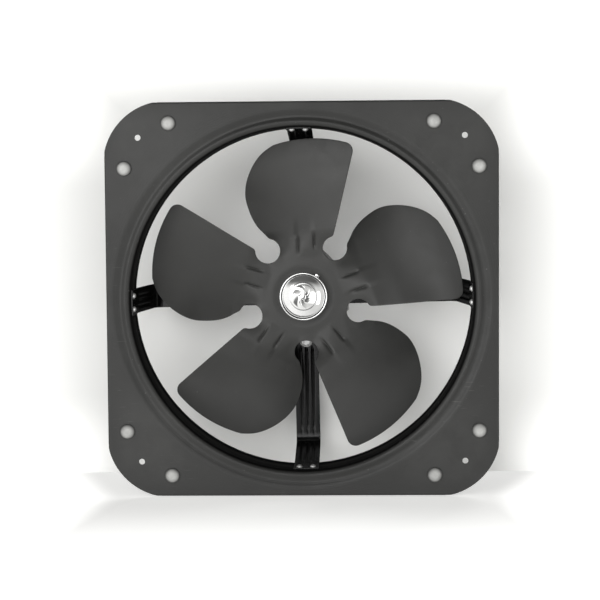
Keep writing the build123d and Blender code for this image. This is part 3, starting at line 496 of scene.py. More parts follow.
def spline(points, step):
    """Natural cubic spline through the points, sampled about every step."""
    p = np.array(points, float)
    s = np.concatenate([[0], np.cumsum(np.hypot(*np.diff(p, axis=0).T))])
    n = len(p)
    h = np.diff(s)
    a = np.zeros((n, n))
    a[0, 0] = a[-1, -1] = 1
    rhs = np.zeros((n, 2))
    for i in range(1, n - 1):
        a[i, i - 1], a[i, i], a[i, i + 1] = h[i - 1], 2 * (h[i - 1] + h[i]), h[i]
        rhs[i] = 6 * ((p[i + 1] - p[i]) / h[i] - (p[i] - p[i - 1]) / h[i - 1])
    m = np.linalg.solve(a, rhs)
    out = []
    for q in np.linspace(0, s[-1], int(s[-1] / step) + 2):
        i = min(n - 2, max(0, int(np.searchsorted(s, q) - 1)))
        u, w = s[i + 1] - q, q - s[i]
        out.append(
            m[i] * u**3 / (6 * h[i]) + m[i + 1] * w**3 / (6 * h[i])
            + (p[i] / h[i] - m[i] * h[i] / 6) * u + (p[i + 1] / h[i] - m[i + 1] * h[i] / 6) * w
        )
    return np.array(out)


def arc(c, r, a0, a1, step):
    """Points on a circle from angle a0 to a1 (radians, either way)."""
    n = max(2, int(abs(a1 - a0) * r / step) + 1)
    q = np.linspace(a0, a1, n + 1)
    return np.stack([c[0] + r * np.cos(q), c[1] + r * np.sin(q)], 1)


def circle3(a, b, c):
    m = np.array([[b[0] - a[0], b[1] - a[1]], [c[0] - b[0], c[1] - b[1]]], float)
    q = np.array([(b[0] ** 2 - a[0] ** 2 + b[1] ** 2 - a[1] ** 2) / 2, (c[0] ** 2 - b[0] ** 2 + c[1] ** 2 - b[1] ** 2) / 2])
    o = np.linalg.solve(m, q)
    return o, math.hypot(a[0] - o[0], a[1] - o[1])


def ball(p0, d, n, rf, c, rc, near):
    """Centre of a round of radius rf that touches the line p0 + t d (on the n
    side) and the circle (c, rc grown or shrunk already), nearest to near."""
    b = np.array(p0) + rf * n - np.array(c)
    k = b @ d
    disc = math.sqrt(max(0.0, k * k - (b @ b - rc * rc)))
    best = None
    for t in (-k - disc, -k + disc):
        f = np.array(p0) + rf * n + t * d
        if best is None or np.hypot(*(f - near)) < np.hypot(*(best - near)):
            best = f
    return best


def sector_outline(step=1.5):
    """Closed outline of a fifth of the impeller, in blade coordinates."""
    lo_c, hi_c = np.array([SLOT_C[0], -SLOT_C[1]]), np.array(SLOT_C)
    half = math.radians(36)
    seam_r = math.hypot(*SLOT_C) - SLOT_R
    radii = [4.0, 6, 8.5, 11, 13.5, 16, 18, 19.4, 20.1, 20.6, 21.1, 21.6, 22.2, 23.2, 24.6, 26.2, 27.8, 29.4,
             30.6, 31.6, 32.6, 33.6, 34.8, 36.4, 38.0, 39.6, 41.2, 42.6]
    ray = lambda a: np.array([[r * math.cos(a), r * math.sin(a)] for r in radii])
    # leading side
    p, q = np.array([54.2, -30.7]), np.array([143.6, -56.2])
    d = (q - p) / np.hypot(*(q - p))
    n = np.array([-d[1], d[0]])
    f = ball(p, d, n, 4.0, lo_c, SLOT_R + 4.0, np.array([57.0, -27.5]))
    touch_c = lo_c + (f - lo_c) / np.hypot(*(f - lo_c)) * SLOT_R
    a_from = math.atan2(-lo_c[1], -lo_c[0])
    a_to = math.atan2(*(touch_c - lo_c)[::-1])
    if a_to > a_from:
        a_to -= 2 * math.pi
    slot_lo = arc(lo_c, SLOT_R, a_from, a_to, step * 0.8)
    fa = math.atan2(*(touch_c - f)[::-1])
    fb = math.atan2(*(-n)[::-1])
    if fb < fa:
        fb += 2 * math.pi
    neck_lo = arc(f, 4.0, fa, fb, 0.6)
    # tip
    tip_mid = np.array([TIP_R * math.cos(math.radians(4)), -TIP_R * math.sin(math.radians(4))])
    o, ro = circle3(q, tip_mid, np.array(LOBE[-1]))
    g = ball(p, d, n, 8.5, o, ro - 8.5, q - 8.5 * d + 8.5 * n)
    line_end = g - 8.5 * n
    tip_touch = o + (g - o) / np.hypot(*(g - o)) * ro
    ga, gb = math.atan2(*(-n)[::-1]), math.atan2(*(tip_touch - g)[::-1])
    if gb < ga:
        gb += 2 * math.pi
    corner = arc(g, 8.5, ga, gb, 0.8)
    oa, ob_ = math.atan2(*(tip_touch - o)[::-1]), math.atan2(*(np.array(LOBE[-1]) - o)[::-1])
    tip = arc(o, ro, oa, ob_, step)
    start = neck_lo[-1]
    count = int(np.hypot(*(line_end - start)) / step)
    edge = start + (line_end - start) * np.linspace(0, 1, count + 1)[:, None]
    # lobe, walked back to the slot
    lobe = spline(LOBE, step)[::-1]
    e = np.array(LOBE[1]) - np.array(LOBE[0])
    e /= np.hypot(*e)
    m = np.array([e[1], -e[0]])
    k = ball(np.array(LOBE[0]), e, m, 7.0, hi_c, SLOT_R + 7.0, np.array([60.5, 25.5]))
    lobe_touch = k - 7.0 * m
    lobe = np.array([w for w in lobe if (w - lobe_touch) @ e > 0.4])
    hi_touch = hi_c + (k - hi_c) / np.hypot(*(k - hi_c)) * SLOT_R
    ka, kb = math.atan2(-m[1], -m[0]), math.atan2(*(hi_touch - k)[::-1])
    if kb < ka:
        kb += 2 * math.pi
    neck_hi = arc(k, 7.0, ka, kb, 0.8)
    b_from = math.atan2(*(hi_touch - hi_c)[::-1])
    b_to = math.atan2(-hi_c[1], -hi_c[0])
    while b_to > b_from:
        b_to -= 2 * math.pi
    slot_hi = arc(hi_c, SLOT_R, b_from, b_to, step * 0.8)
    inner = arc((0, 0), 4.0, half, -half, 1.0)
    parts = [ray(-half), slot_lo, neck_lo[1:], edge[1:], corner[1:], tip[1:], lobe[1:], neck_hi, slot_hi[1:],
             ray(half)[::-1], inner[1:-1]]
    pts = np.concatenate(parts)
    out = [pts[0]]
    for w in pts[1:]:
        if np.hypot(*(w - out[-1])) > 0.12:
            out.append(w)
    if np.hypot(*(out[0] - out[-1])) < 0.12:
        out.pop()
    return np.array(out), seam_r


def inside(poly, pts):
    x, y = pts[:, 0], pts[:, 1]
    res = np.zeros(len(pts), bool)
    for (x0, y0), (x1, y1) in zip(poly, np.roll(poly, -1, 0)):
        cond = (y0 > y) != (y1 > y)
        if y1 != y0:
            res ^= cond & (x < (x1 - x0) * (y - y0) / (y1 - y0) + x0)
    return res


def clearance(poly, pts):
    best = np.full(len(pts), 1e9)
    for a, b in zip(poly, np.roll(poly, -1, 0)):
        d = b - a
        t = np.clip(((pts - a) @ d) / max(d @ d, 1e-12), 0, 1)
        best = np.minimum(best, np.hypot(*(pts - a - t[:, None] * d).T))
    return best


def hexes(x0, x1, y0, y1, s, shift=0.0):
    out = []
    rows = int((y1 - y0) / (s * 0.866)) + 1
    for j in range(rows):
        y = y0 + j * s * 0.866
        for x in np.arange(x0 + (s / 2 if j % 2 else 0) + shift, x1, s):
            out.append((x, y))
    return np.array(out)


CREASES = [(3.4, 38.0, 60.5, 2.3), (-12.6, 41.0, 64.0, 2.1)]


def sheet_height(u, v):
    """y of the middle of the sheet over blade coordinates (u, v)."""
    pitch = np.radians(24.5 * smooth((u - 37) / 29) - 8.5 * smooth((u - 84) / 42) - 1.5 * smooth((u - 120) / 35))
    mid = HUB_Y + 3.0 * smooth((u - 40) / 40) - 3.5 * smooth((u - 92) / 50)
    bow = 0.03 + 3.2 * smooth((u - 42) / 30)
    x = v / np.cos(pitch)
    for _ in range(6):
        local = bow * 0.35 - bow * 1.35 * (x / 66.0) ** 2
        x = (v - local * np.sin(pitch)) / np.cos(pitch)
    local = bow * 0.35 - bow * 1.35 * (x / 66.0) ** 2
    y = mid + x * np.sin(pitch) - local * np.cos(pitch)
    # the embossed root: a low rib between two creases
    rib = smooth((v + 15.5) / 6.0) * smooth((7.0 - v) / 6.0) * smooth((u - 34) / 14) * smooth((84 - u) / 34)
    y = y - 1.5 * rib
    for c, u0, u1, deep in CREASES:
        along = smooth((u - u0) / 10.0) * smooth((u1 - u) / 6.0)
        y = y + deep * along * np.exp(-(((v - c) / 1.35) ** 2))
        y = y + 0.5 * along * np.exp(-(((v - c) / 4.0) ** 2))
    # soft sinks where the slots pull the sheet
    seam = smooth((34.5 - np.degrees(np.arctan2(np.abs(v), np.maximum(u, 0.1)))) / 9.0)
    for c in (19.5, -22.5):
        y = y + 1.5 * seam * np.exp(-(((v - c) / 6.0) ** 2) - (((u - 47) / 9.0) ** 2))
    # raised middle under the cap, and a low ring round it
    r = np.hypot(u, v)
    y = y - 0.55 * smooth((39.0 - r) / 9.0) + 0.5 * smooth((31.0 - r) / 7.0)
    y = y - 4.2 * smooth((21.9 - r) / 1.9)
    return y


def impeller():
    outline, seam_r = sector_outline()
    lo, hi = outline.min(0), outline.max(0)
    coarse = hexes(lo[0], hi[0], lo[1], hi[1], 2.3)
    coarse = coarse[~((coarse[:, 0] < 70) & (coarse[:, 0] > 22))]
    root = hexes(20, 70.5, -34, 36, 1.05)
    root = root[np.hypot(*root.T) > 22.8]
    pts = np.concatenate([coarse[np.hypot(*coarse.T) < 19.0], coarse[coarse[:, 0] >= 70], root])
    rings = []
    half = math.radians(36)
    for r in (19.4, 20.1, 20.6, 21.1, 21.6, 22.2):
        k = int(2 * half * r / 1.1)
        for i in range(1, k):
            a = -half + 2 * half * i / k
            rings.append((r * math.cos(a), r * math.sin(a)))
    pts = np.concatenate([pts, np.array(rings)])
    pts = pts[inside(outline, pts)]
    gap = clearance(outline, pts)
    r = np.hypot(*pts.T)
    pts = pts[(gap > 0.75) | ((r < 22.6) & (gap > 0.3))]
    n = len(outline)
    coords = [Vector(p) for p in outline] + [Vector(p) for p in pts]
    edges = [(i, (i + 1) % n) for i in range(n)]
    v2, _, faces, *_ = delaunay_2d_cdt(coords, edges, [], 1, 1e-5)
    uv = np.array([(p.x, p.y) for p in v2])
    y = sheet_height(uv[:, 0], uv[:, 1])
    verts, tris = [], []
    for k in range(5):
        a = math.radians(BLADE_ANGLE + 72 * k)
        ca, sa = math.cos(a), math.sin(a)
        base = len(verts)
        X = uv[:, 0] * ca - uv[:, 1] * sa
        Z = uv[:, 0] * sa + uv[:, 1] * ca
        verts += list(zip(X, y, Z))
        tris += [tuple(base + i for i in f) for f in faces]
    ob = new_mesh("impeller", verts, tris, "blade_paint")
    weld(ob, 0.02 * MM)
    # all faces look to the front
    me = ob.data
    if sum(p.normal.y * p.area for p in me.polygons) > 0:
        me.flip_normals()
    s = ob.modifiers.new("thick", "SOLIDIFY")
    s.thickness = SHEET_T * MM
    s.offset = 0.0
    s.use_even_offset = True
    b = ob.modifiers.new("edge", "BEVEL")
    b.width = 0.38 * MM
    b.segments = 3
    b.limit_method = "ANGLE"
    b.angle_limit = math.radians(60)
    b.harden_normals = False
    settle(ob, 50)
    return ob


blades = impeller()
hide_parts("fan_blade")
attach(blades, "rotor")


# ----------------------------------------------------------------- lathe pieces
def lathe(profile, segments, centre=(0, 0), relief=None):
    """Turned piece about an axis along Y.  profile is a list of (r, y);
    relief(r, a, i) moves the skin of profile point i along the axis."""
    verts, faces, rows = [], [], []
    for i, (r, y) in enumerate(profile):
        if r < 1e-6:
            rows.append([len(verts)])
            verts.append((centre[0], y + (relief(0.0, 0.0, i) if relief else 0.0), centre[1]))
        else:
            row = []
            for k in range(segments):
                a = 2 * math.pi * k / segments
                row.append(len(verts))
                verts.append((centre[0] + r * math.cos(a), y + (relief(r, a, i) if relief else 0.0), centre[1] + r * math.sin(a)))
            rows.append(row)
    for a, b in zip(rows, rows[1:]):
        for k in range(segments):
            j = (k + 1) % segments
            if len(a) == 1:
                faces.append((a[0], b[k], b[j]))
            elif len(b) == 1:
                faces.append((a[k], b[0], a[j]))
            else:
                faces.append((a[k], b[k], b[j], a[j]))
    return verts, faces


# the chrome cap: rolled rim, groove, dome, and a round emblem of plain petals
def cap_relief(r, a):
    if r > 15.0:
        return 0.0
    h = 0.0
    # knurled ring round the emblem
    beads = 0.5 + 0.5 * math.cos(60 * a)
    h -= 0.20 * math.exp(-(((r - 13.3) / 0.40) ** 2)) * (0.55 + 0.45 * beads)
    h += 0.12 * math.exp(-(((r - 12.3) / 0.45) ** 2))
    # five swept petals, deeper on one side
    if 2.4 < r < 11.6:
        w = math.cos(5 * (a - 0.10 * (r - 3.0)))
        deep = 0.30 + 0.16 * math.cos(a - math.radians(165))
        h -= deep * max(0.0, w) ** 0.6 * math.sin(math.pi * (r - 2.4) / 9.2)
    if r < 2.9:
        h -= 0.25 * (1 - (r / 2.9) ** 2)
    return h


CAP = 40.6
DOME_R = 38.0
dome = []
for r in np.concatenate([np.arange(0.0, 15.2, 0.36), np.arange(15.5, 20.5, 0.4)]):
    # a dome that turns down a little faster towards its edge
    drop = DOME_R - math.sqrt(DOME_R**2 - r * r) + 0.35 * float(smooth(np.array((r - 16.0) / 5.0)))
    dome.append((float(r), CAP + 0.56 + drop))
dome += [(20.62, CAP + 6.85), (20.72, CAP + 7.35), (20.90, CAP + 7.75), (21.12, CAP + 7.85), (21.34, CAP + 7.70), (21.50, CAP + 7.25),
         (21.70, CAP + 6.88), (22.05, CAP + 6.66), (22.5, CAP + 6.66), (22.92, CAP + 6.90), (23.22, CAP + 7.4), (23.38, CAP + 8.2),
         (23.38, 56.6), (23.3, 57.3), (22.7, 57.35), (21.7, 57.0), (21.6, 52.0), (21.2, 51.2),
         (19.9, 50.2), (19.1, 48.2), (17.4, CAP + 5.9), (15.0, CAP + 4.4), (12.5, CAP + 3.5), (6.0, CAP + 2.2), (0.0, CAP + 2.0)]
outer_skin = len(dome) - 7
cap_v, cap_f = lathe(dome, 180, relief=lambda r, a, i: cap_relief(r, a) if i < outer_skin else 0.0)
cap = new_mesh("chrome_cap_shell", cap_v, cap_f, "cap_chrome")


def tongue(angle, r0, r1, y0, y1, w, radius=1.2):
    """Small pressed tab, standing out of the rim."""
    a = math.radians(angle)
    er, et = np.array([math.cos(a), 0, math.sin(a)]), np.array([-math.sin(a), 0, math.cos(a)])
    outline = [(r0, -w / 2)]
    for k in range(7):
        q = -math.pi / 2 + k / 6 * math.pi / 2
        outline.append((r1 - radius + radius * math.cos(q), -w / 2 + radius + radius * math.sin(q)))
    for k in range(7):
        q = k / 6 * math.pi / 2
        outline.append((r1 - radius + radius * math.cos(q), w / 2 - radius + radius * math.sin(q)))
    outline.append((r0, w / 2))
    verts, faces = [], []
    for y in (y0, y1):
        for r, t in outline:
            p = er * r + et * t
            verts.append((p[0], y, p[2]))
    n = len(outline)
    faces.append(tuple(range(n)))
    faces.append(tuple(range(2 * n - 1, n - 1, -1)))
    for i in range(n):
        j = (i + 1) % n
        faces.append((i, i + n, j + n, j))
    return verts, faces


tv, tf = tongue(56.2, 22.4, 25.4, CAP + 9.4, CAP + 11.4, 4.1)
tab = new_mesh("chrome_cap_tab", tv, tf, "chrome")
bv = tab.modifiers.new("edge", "BEVEL")
bv.width = 0.4 * MM
bv.segments = 3
bv.limit_method = "ANGLE"
bv.angle_limit = math.radians(50)
for ob in (cap, tab):
    weld(ob, 0.001 * MM)
    settle(ob, 50)
    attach(ob, "rotor")
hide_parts("chrome_cap")


# -------------------------------------------------------------- rubber buffers
def buffers():
    verts, faces = [], []
    profile = [(0, -4.36), (0.9, -4.36), (1.8, -4.29), (2.7, -4.12), (3.6, -3.83), (4.45, -3.42), (5.25, -2.88), (5.95, -2.25),
               (6.5, -1.6), (6.95, -0.95), (7.2, -0.45), (7.25, -0.18), (7.1, -0.04), (6.8, -0.01), (4.0, -0.01), (4.0, 1.25),
               (5.4, 1.25), (5.3, 2.6), (4.4, 4.4), (2.7, 6.9), (2.2, 7.15), (0, 7.2)]
    for bx, bz in ((124.0, 166.0), (166.0, 124.0)):
        for sx in (-1, 1):
            for sz in (-1, 1):
                k = (sx * 3 + sz * 5 + (bx > 150) * 7) % 11
                turn = k * 0.7

                def relief(r, a, i, turn=turn):
                    # a small sunk gate mark
                    gx, gz = 1.7 * math.cos(turn), 1.7 * math.sin(turn)
                    x, z = r * math.cos(a), r * math.sin(a)
                    d = math.hypot(x - gx, z - gz)
                    groove = 0.16 * math.exp(-(((r - 3.6) / 0.5) ** 2))
                    return groove + 0.28 * math.exp(-((d / 0.75) ** 2)) if i < 6 else 0.0

                v, f = lathe(profile, 48, (sx * bx, sz * bz), relief)
                base = len(verts)
                verts += v
                faces += [tuple(base + i for i in q) for q in f]
    ob = new_mesh("rubber_buffer_set", verts, faces, "buffer_rubber")
    weld(ob, 0.001 * MM)
    settle(ob, 45)
    return ob


buf = buffers()
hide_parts("rubber_buffers")
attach(buf, "frame")


# ---------------------------------------------------------------- support arms
def fillet_path(points, radii, step=1.6):
    """Polyline in (r, y) with rounded corners, as evenly spaced points."""
    pts = [np.array(p, float) for p in points]
    out = [pts[0]]
    for i in range(1, len(pts) - 1):
        a, b, c = pts[i - 1], pts[i], pts[i + 1]
        u, v = (a - b) / np.hypot(*(a - b)), (c - b) / np.hypot(*(c - b))
        ang = math.acos(np.clip(u @ v, -1, 1))
        k = radii[i - 1] / math.tan(ang / 2)
        p, q = b + u * k, b + v * k
        o = b + (u + v) / np.hypot(*(u + v)) * radii[i - 1] / math.sin(ang / 2)
        a0, a1 = math.atan2(*(p - o)[::-1]), math.atan2(*(q - o)[::-1])
        while a1 - a0 > math.pi:
            a1 -= 2 * math.pi
        while a1 - a0 < -math.pi:
            a1 += 2 * math.pi
        for t in np.linspace(0, 1, max(4, int(abs(a1 - a0) * radii[i - 1] / 0.9))):
            w = a0 + (a1 - a0) * t
            out.append(o + radii[i - 1] * np.array([math.cos(w), math.sin(w)]))
    out.append(pts[-1])
    out = np.array(out)
    s = np.concatenate([[0], np.cumsum(np.hypot(*np.diff(out, axis=0).T))])
    n = int(s[-1] / step)
    q = np.linspace(0, s[-1], n + 1)
    return np.stack([np.interp(q, s, out[:, 0]), np.interp(q, s, out[:, 1])], 1), q


ARM_TURN, ARM_W, ARM_T = 0.9, 24.0, 1.6
arm_path, arm_s = fillet_path([(161.0, 5.4), (161.0, 46.8), (151.3, 116.8), (26.0, 116.8)], [60.0, 9.0])


def arm_mesh(angle, name):
    a = math.radians(angle)
    er, et = np.array([math.cos(a), 0, math.sin(a)]), np.array([-math.sin(a), 0, math.cos(a)])
    cols = 49
    t = np.linspace(-ARM_W / 2, ARM_W / 2, cols)
    tangent = np.gradient(arm_path, axis=0)
    tangent /= np.hypot(*tangent.T)[:, None]
    normal = np.stack([-tangent[:, 1], tangent[:, 0]], 1)
    # the normal that points away from the fan's middle and to the rear
    flip = np.sign(normal @ np.array([0.5, 1.0]))
    normal *= flip[:, None]
    s = arm_s
    total = s[-1]
    knee = np.argmin(np.hypot(*(arm_path - np.array([149.0, 114.2])).T))
    sk = s[knee]
    leg0 = 47.0
    amp_leg = smooth((s - leg0 + 6) / 8) * smooth((sk - 14.5 - s) / 12)
    amp_rad = smooth((s - sk - 3.0) / 24) * smooth((total - 28.0 - s) / 8)
    verts = []
    for i, (r, y) in enumerate(arm_path):
        foot = 1 - float(smooth(np.array((s[i] - 40) / 28)))
        end = max(0.0, 3.5 - (total - s[i]))
        for w in t:
            ww = w
            if end > 0:
                inset = 3.5 - math.sqrt(max(0.0, 3.5**2 - end**2))
                ww = w * (ARM_W / 2 - inset) / (ARM_W / 2)
            rr = r - (161.0 - math.sqrt(161.0**2 - ww**2)) * foot
            h = 0.0
            for c in (-6.1, 0.0, 6.1):
                d = abs(ww - c)
                # wider flutes on the leg, narrow ones on the radial stretch
                lw = 2.3
                if d < lw:
                    h = max(h, 1.30 * amp_leg[i] * (0.5 + 0.5 * math.cos(math.pi * d / lw)))
                rw = 1.75
                if d < rw:
                    h = max(h, 1.05 * amp_rad[i] * (0.5 + 0.5 * math.cos(math.pi * d / rw)))
            p = er * (rr + normal[i, 0] * h) + et * ww
            verts.append((p[0], y + normal[i, 1] * h, p[2]))
    faces = []
    for i in range(len(arm_path) - 1):
        for j in range(cols - 1):
            k = i * cols + j
            faces.append((k, k + 1, k + cols + 1, k + cols))
    ob = new_mesh(name, verts, faces, "arm_enamel")
    sol = ob.modifiers.new("thick", "SOLIDIFY")
    sol.thickness = ARM_T * MM
    sol.offset = 0.0
    sol.use_even_offset = True
    b = ob.modifiers.new("edge", "BEVEL")
    b.width = 0.35 * MM
    b.segments = 3
    b.limit_method = "ANGLE"
    b.angle_limit = math.radians(60)
    settle(ob, 50)
    return ob


for k, side in enumerate(("right", "top", "left", "bottom")):
    arm = arm_mesh(ARM_TURN + 90 * k, "arm_strip_" + side)
    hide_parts("support_arm_" + side)
    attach(arm, "frame")


# ------------------------------------------------------- floor, backdrop, light
def stage_material(name, value, glow, field):
    """Pale surface, seen from its front only, with painted light: it glows a little
    so that the shadows on it stay pale, less near the object than far from it,
    which paints a soft shade round the object: glow is (near, far) and field says
    where far begins and ends."""
    m = bpy.data.materials.new(name)
    m.use_nodes = True
    nt = m.node_tree
    nt.nodes.clear()
    out = nt.nodes.new("ShaderNodeOutputMaterial")
    card = nt.nodes.new("ShaderNodeBsdfPrincipled")
    card.inputs["Base Color"].default_value = (value, value, value * 0.985, 1)
    card.inputs["Roughness"].default_value = 1.0
    card.inputs["Specular IOR Level"].default_value = 0.0
    card.inputs["Emission Color"].default_value = (1.0, 1.0, 0.985, 1)
    split = nt.nodes.new("ShaderNodeSeparateXYZ")
    nt.links.new(nt.nodes.new("ShaderNodeTexCoord").outputs["Object"], split.inputs[0])
    away = nt.nodes.new("ShaderNodeMapRange")
    away.interpolation_type = "SMOOTHSTEP"
    for k, v in zip(("From Min", "From Max", "To Min", "To Max"), (*field[1:], *glow)):
        away.inputs[k].default_value = v
    ax, second, most = (nt.nodes.new("ShaderNodeMath") for _ in range(3))
    ax.operation, most.operation = "ABSOLUTE", "MAXIMUM"
    nt.links.new(split.outputs[0], ax.inputs[0])
    if field[0] == "floor":
        # painted light: beside the plate the glow rises quickly, in front of it slowly
        second.operation = "MULTIPLY_ADD"
        second.inputs[1].default_value = -0.36
        second.inputs[2].default_value = 0.165
        nt.links.new(split.outputs[1], second.inputs[0])
        beside = nt.nodes.new("ShaderNodeMath")
        beside.operation = "MULTIPLY_ADD"
        beside.inputs[1].default_value = 2.2
        beside.inputs[2].default_value = -0.2
        nt.links.new(ax.outputs[0], beside.inputs[0])
        toward = nt.nodes.new("ShaderNodeMapRange")
        for k, v in (("From Min", 0.0), ("From Max", 0.14), ("To Min", 0.0), ("To Max", -0.098)):
            toward.inputs[k].default_value = v
        nt.links.new(split.outputs[1], toward.inputs["Value"])
        ax = nt.nodes.new("ShaderNodeMath")
        ax.operation = "ADD"
        nt.links.new(beside.outputs[0], ax.inputs[0])
        nt.links.new(toward.outputs[0], ax.inputs[1])
    else:
        second.operation = "ABSOLUTE"
        nt.links.new(split.outputs[2], second.inputs[0])
    nt.links.new(ax.outputs[0], most.inputs[0])
    nt.links.new(second.outputs[0], most.inputs[1])
    nt.links.new(most.outputs[0], away.inputs["Value"])
    level = away.outputs[0]
    if field[0] == "around":
        # painted light: a little more glow behind the hub, where the shadows pile up
        dist = nt.nodes.new("ShaderNodeVectorMath")
        dist.operation = "LENGTH"
        flat = nt.nodes.new("ShaderNodeCombineXYZ")
        nt.links.new(split.outputs[0], flat.inputs[0])
        nt.links.new(split.outputs[2], flat.inputs[2])
        nt.links.new(flat.outputs[0], dist.inputs[0])
        core = nt.nodes.new("ShaderNodeMapRange")
        core.interpolation_type = "SMOOTHSTEP"
        for k, v in zip(("From Min", "From Max", "To Min", "To Max"), (0.045, 0.135, 0.17, 0.0)):
            core.inputs[k].default_value = v
        nt.links.new(dist.outputs["Value"], core.inputs["Value"])
        both = nt.nodes.new("ShaderNodeMath")
        both.operation = "ADD"
        nt.links.new(level, both.inputs[0])
        nt.links.new(core.outputs[0], both.inputs[1])
        level = both.outputs[0]

        # beside the plate the painted glow rises more slowly, and on its left a
        # painted shadow makes the card a little greyer
        def ramp(value, a, b, c, d):
            n = nt.nodes.new("ShaderNodeMapRange")
            n.interpolation_type = "SMOOTHSTEP"
            for k, v in (("From Min", a), ("From Max", b), ("To Min", c), ("To Max", d)):
                n.inputs[k].default_value = v
            nt.links.new(value, n.inputs["Value"])
            return n.outputs[0]

        def math_node(operation, a, b):
            n = nt.nodes.new("ShaderNodeMath")
            n.operation = operation
            nt.links.new(a, n.inputs[0])
            nt.links.new(b, n.inputs[1])
            return n.outputs[0]

        x = split.outputs[0]
        middle = ramp(second.outputs[0], 0.10, 0.175, 1, 0)
        left = math_node("MULTIPLY", ramp(x, -0.195, -0.172, 1, 0), ramp(x, -0.35, -0.26, 0, 1))
        grey = math_node("MULTIPLY", left, middle)
        slow = nt.nodes.new("ShaderNodeMix")
        nt.links.new(middle, slow.inputs[0])
        nt.links.new(level, slow.inputs[2])
        nt.links.new(math_node("ADD", ramp(ax.outputs[0], 0.160, 0.36, *glow), core.outputs[0]), slow.inputs[3])
        level = slow.outputs[0]
        # painted shadow: greyer base colour on the card left of the plate
        shadow_tint = nt.nodes.new("ShaderNodeMix")
        shadow_tint.data_type = "RGBA"
        shadow_tint.inputs[6].default_value = (value, value, value * 0.985, 1)
        shadow_tint.inputs[7].default_value = (value * SHADOW_GREY, value * SHADOW_GREY, value * SHADOW_GREY * 0.985, 1)
        nt.links.new(grey, shadow_tint.inputs[0])
        nt.links.new(shadow_tint.outputs[2], card.inputs["Base Color"])
    nt.links.new(level, card.inputs["Emission Strength"])
    clear = nt.nodes.new("ShaderNodeBsdfTransparent")
    geo = nt.nodes.new("ShaderNodeNewGeometry")
    mix = nt.nodes.new("ShaderNodeMixShader")
    nt.links.new(geo.outputs["Backfacing"], mix.inputs[0])
    nt.links.new(card.outputs[0], mix.inputs[1])
    nt.links.new(clear.outputs[0], mix.inputs[2])
    nt.links.new(mix.outputs[0], out.inputs[0])
    return m


def panel(name, corners, material):
    me = bpy.data.meshes.new(name)
    me.from_pydata(corners, [], [(0, 1, 2, 3)])
    me.materials.append(material)
    ob = bpy.data.objects.new(name, me)
    scene.collection.objects.link(ob)
    return ob


BACK_GLOW, FLOOR_GLOW, SHADOW_GREY = (0.0, 0.55), (0.46, 0.85), 0.87
FLOOR_Z = cad_low.z - 0.0004
BACK_Y = cad_high.y + 0.006
floor = panel("floor", [(-3, -3, FLOOR_Z), (3, -3, FLOOR_Z), (3, 3, FLOOR_Z), (-3, 3, FLOOR_Z)], stage_material("floor_card", 0.86, FLOOR_GLOW, ("floor", 0.176, 0.262)))
back = panel("backdrop", [(-0.75, BACK_Y, FLOOR_Z), (0.75, BACK_Y, FLOOR_Z), (0.75, BACK_Y, 0.75), (-0.75, BACK_Y, 0.75)], stage_material("back_card", 0.86, BACK_GLOW, ("around", 0.176, 0.262)))
floor.visible_glossy = False
back.visible_shadow = False
back.visible_diffuse = False
back.visible_glossy = False
back.visible_transmission = False

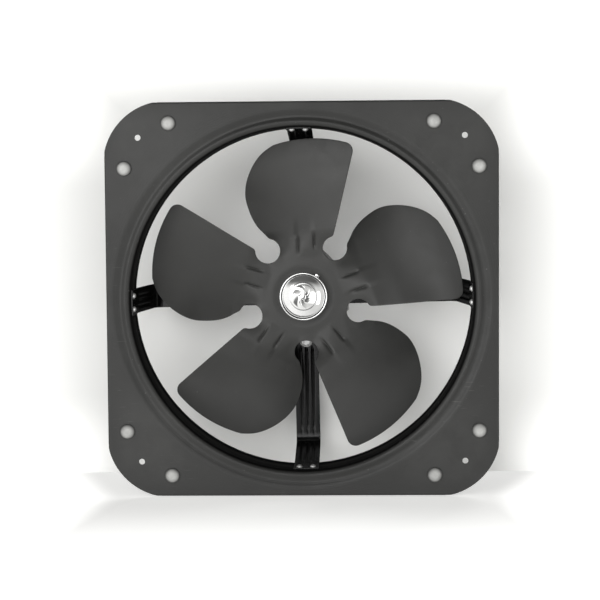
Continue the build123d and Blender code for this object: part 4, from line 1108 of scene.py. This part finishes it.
def studio():
    """White to the camera; to the object a room with bright sides, a darker
    ceiling, a dim back and a dark patch where the photographer stands."""
    world = bpy.data.worlds.new("world")
    scene.world = world
    world.use_nodes = True
    nt = world.node_tree
    nt.nodes.clear()

    def node(kind, **inputs):
        n = nt.nodes.new(kind)
        for k, v in inputs.items():
            n.inputs[k].default_value = v
        return n

    def ramp(value, a, b, c, d):
        n = nt.nodes.new("ShaderNodeMapRange")
        n.interpolation_type = "SMOOTHSTEP"
        for k, v in (("From Min", a), ("From Max", b), ("To Min", c), ("To Max", d)):
            n.inputs[k].default_value = v
        nt.links.new(value, n.inputs["Value"])
        return n.outputs[0]

    def times(a, b):
        n = nt.nodes.new("ShaderNodeMath")
        n.operation = "MULTIPLY"
        nt.links.new(a, n.inputs[0])
        nt.links.new(b, n.inputs[1])
        return n.outputs[0]

    way = nt.nodes.new("ShaderNodeTexCoord").outputs["Generated"]
    split = nt.nodes.new("ShaderNodeSeparateXYZ")
    nt.links.new(way, split.inputs[0])
    x, y, z = split.outputs
    sides = ramp(x, -0.75, 0.75, SIDE_LEFT, SIDE_RIGHT)
    ceiling = ramp(z, 0.30, 0.72, 1.0, CEILING)
    rear = ramp(y, -0.10, 0.45, 1.0, REAR)
    dot = nt.nodes.new("ShaderNodeVectorMath")
    dot.operation = "DOT_PRODUCT"
    nt.links.new(way, dot.inputs[0])
    dot.inputs[1].default_value = Vector((-0.03, -1.0, -0.07)).normalized()
    patch = ramp(dot.outputs["Value"], 0.925, 0.975, 1.0, PATCH)
    level = times(times(sides, ceiling), times(rear, patch))
    lit = nt.nodes.new("ShaderNodeBackground")
    nt.links.new(level, lit.inputs["Strength"])
    plain = nt.nodes.new("ShaderNodeBackground")
    plain.inputs["Strength"].default_value = 1.05
    path = nt.nodes.new("ShaderNodeLightPath")
    mix = nt.nodes.new("ShaderNodeMixShader")
    out = nt.nodes.new("ShaderNodeOutputWorld")
    for n in (lit, plain):
        n.inputs["Color"].default_value = (1.0, 1.0, 0.985, 1)
    nt.links.new(path.outputs["Is Camera Ray"], mix.inputs[0])
    nt.links.new(lit.outputs[0], mix.inputs[1])
    nt.links.new(plain.outputs[0], mix.inputs[2])
    nt.links.new(mix.outputs[0], out.inputs[0])


SIDE_LEFT, SIDE_RIGHT, CEILING, REAR, PATCH = 1.15, 0.75, 0.13, 0.05, 0.14
studio()


def area(name, place, target, size, watts, size_y=None):
    li = bpy.data.lights.new(name, "AREA")
    li.energy = watts
    li.size = size
    if size_y:
        li.shape = "RECTANGLE"
        li.size_y = size_y
    ob = bpy.data.objects.new(name, li)
    scene.collection.objects.link(ob)
    ob.location = place
    ob.rotation_mode = "QUATERNION"
    ob.rotation_quaternion = (Vector(target) - Vector(place)).to_track_quat("-Z", "Y")
    return ob


area("key", (-0.75, -2.05, 0.40), (0, 0, 0), 1.7, 22.5)
area("fill", (1.2, -1.6, -0.25), (0, 0, 0), 1.4, 7.0)
rear_light = area("rear", (0.7, 1.9, 1.0), (0, 0.1, 0), 1.2, 17.0)
rear_light.visible_glossy = False
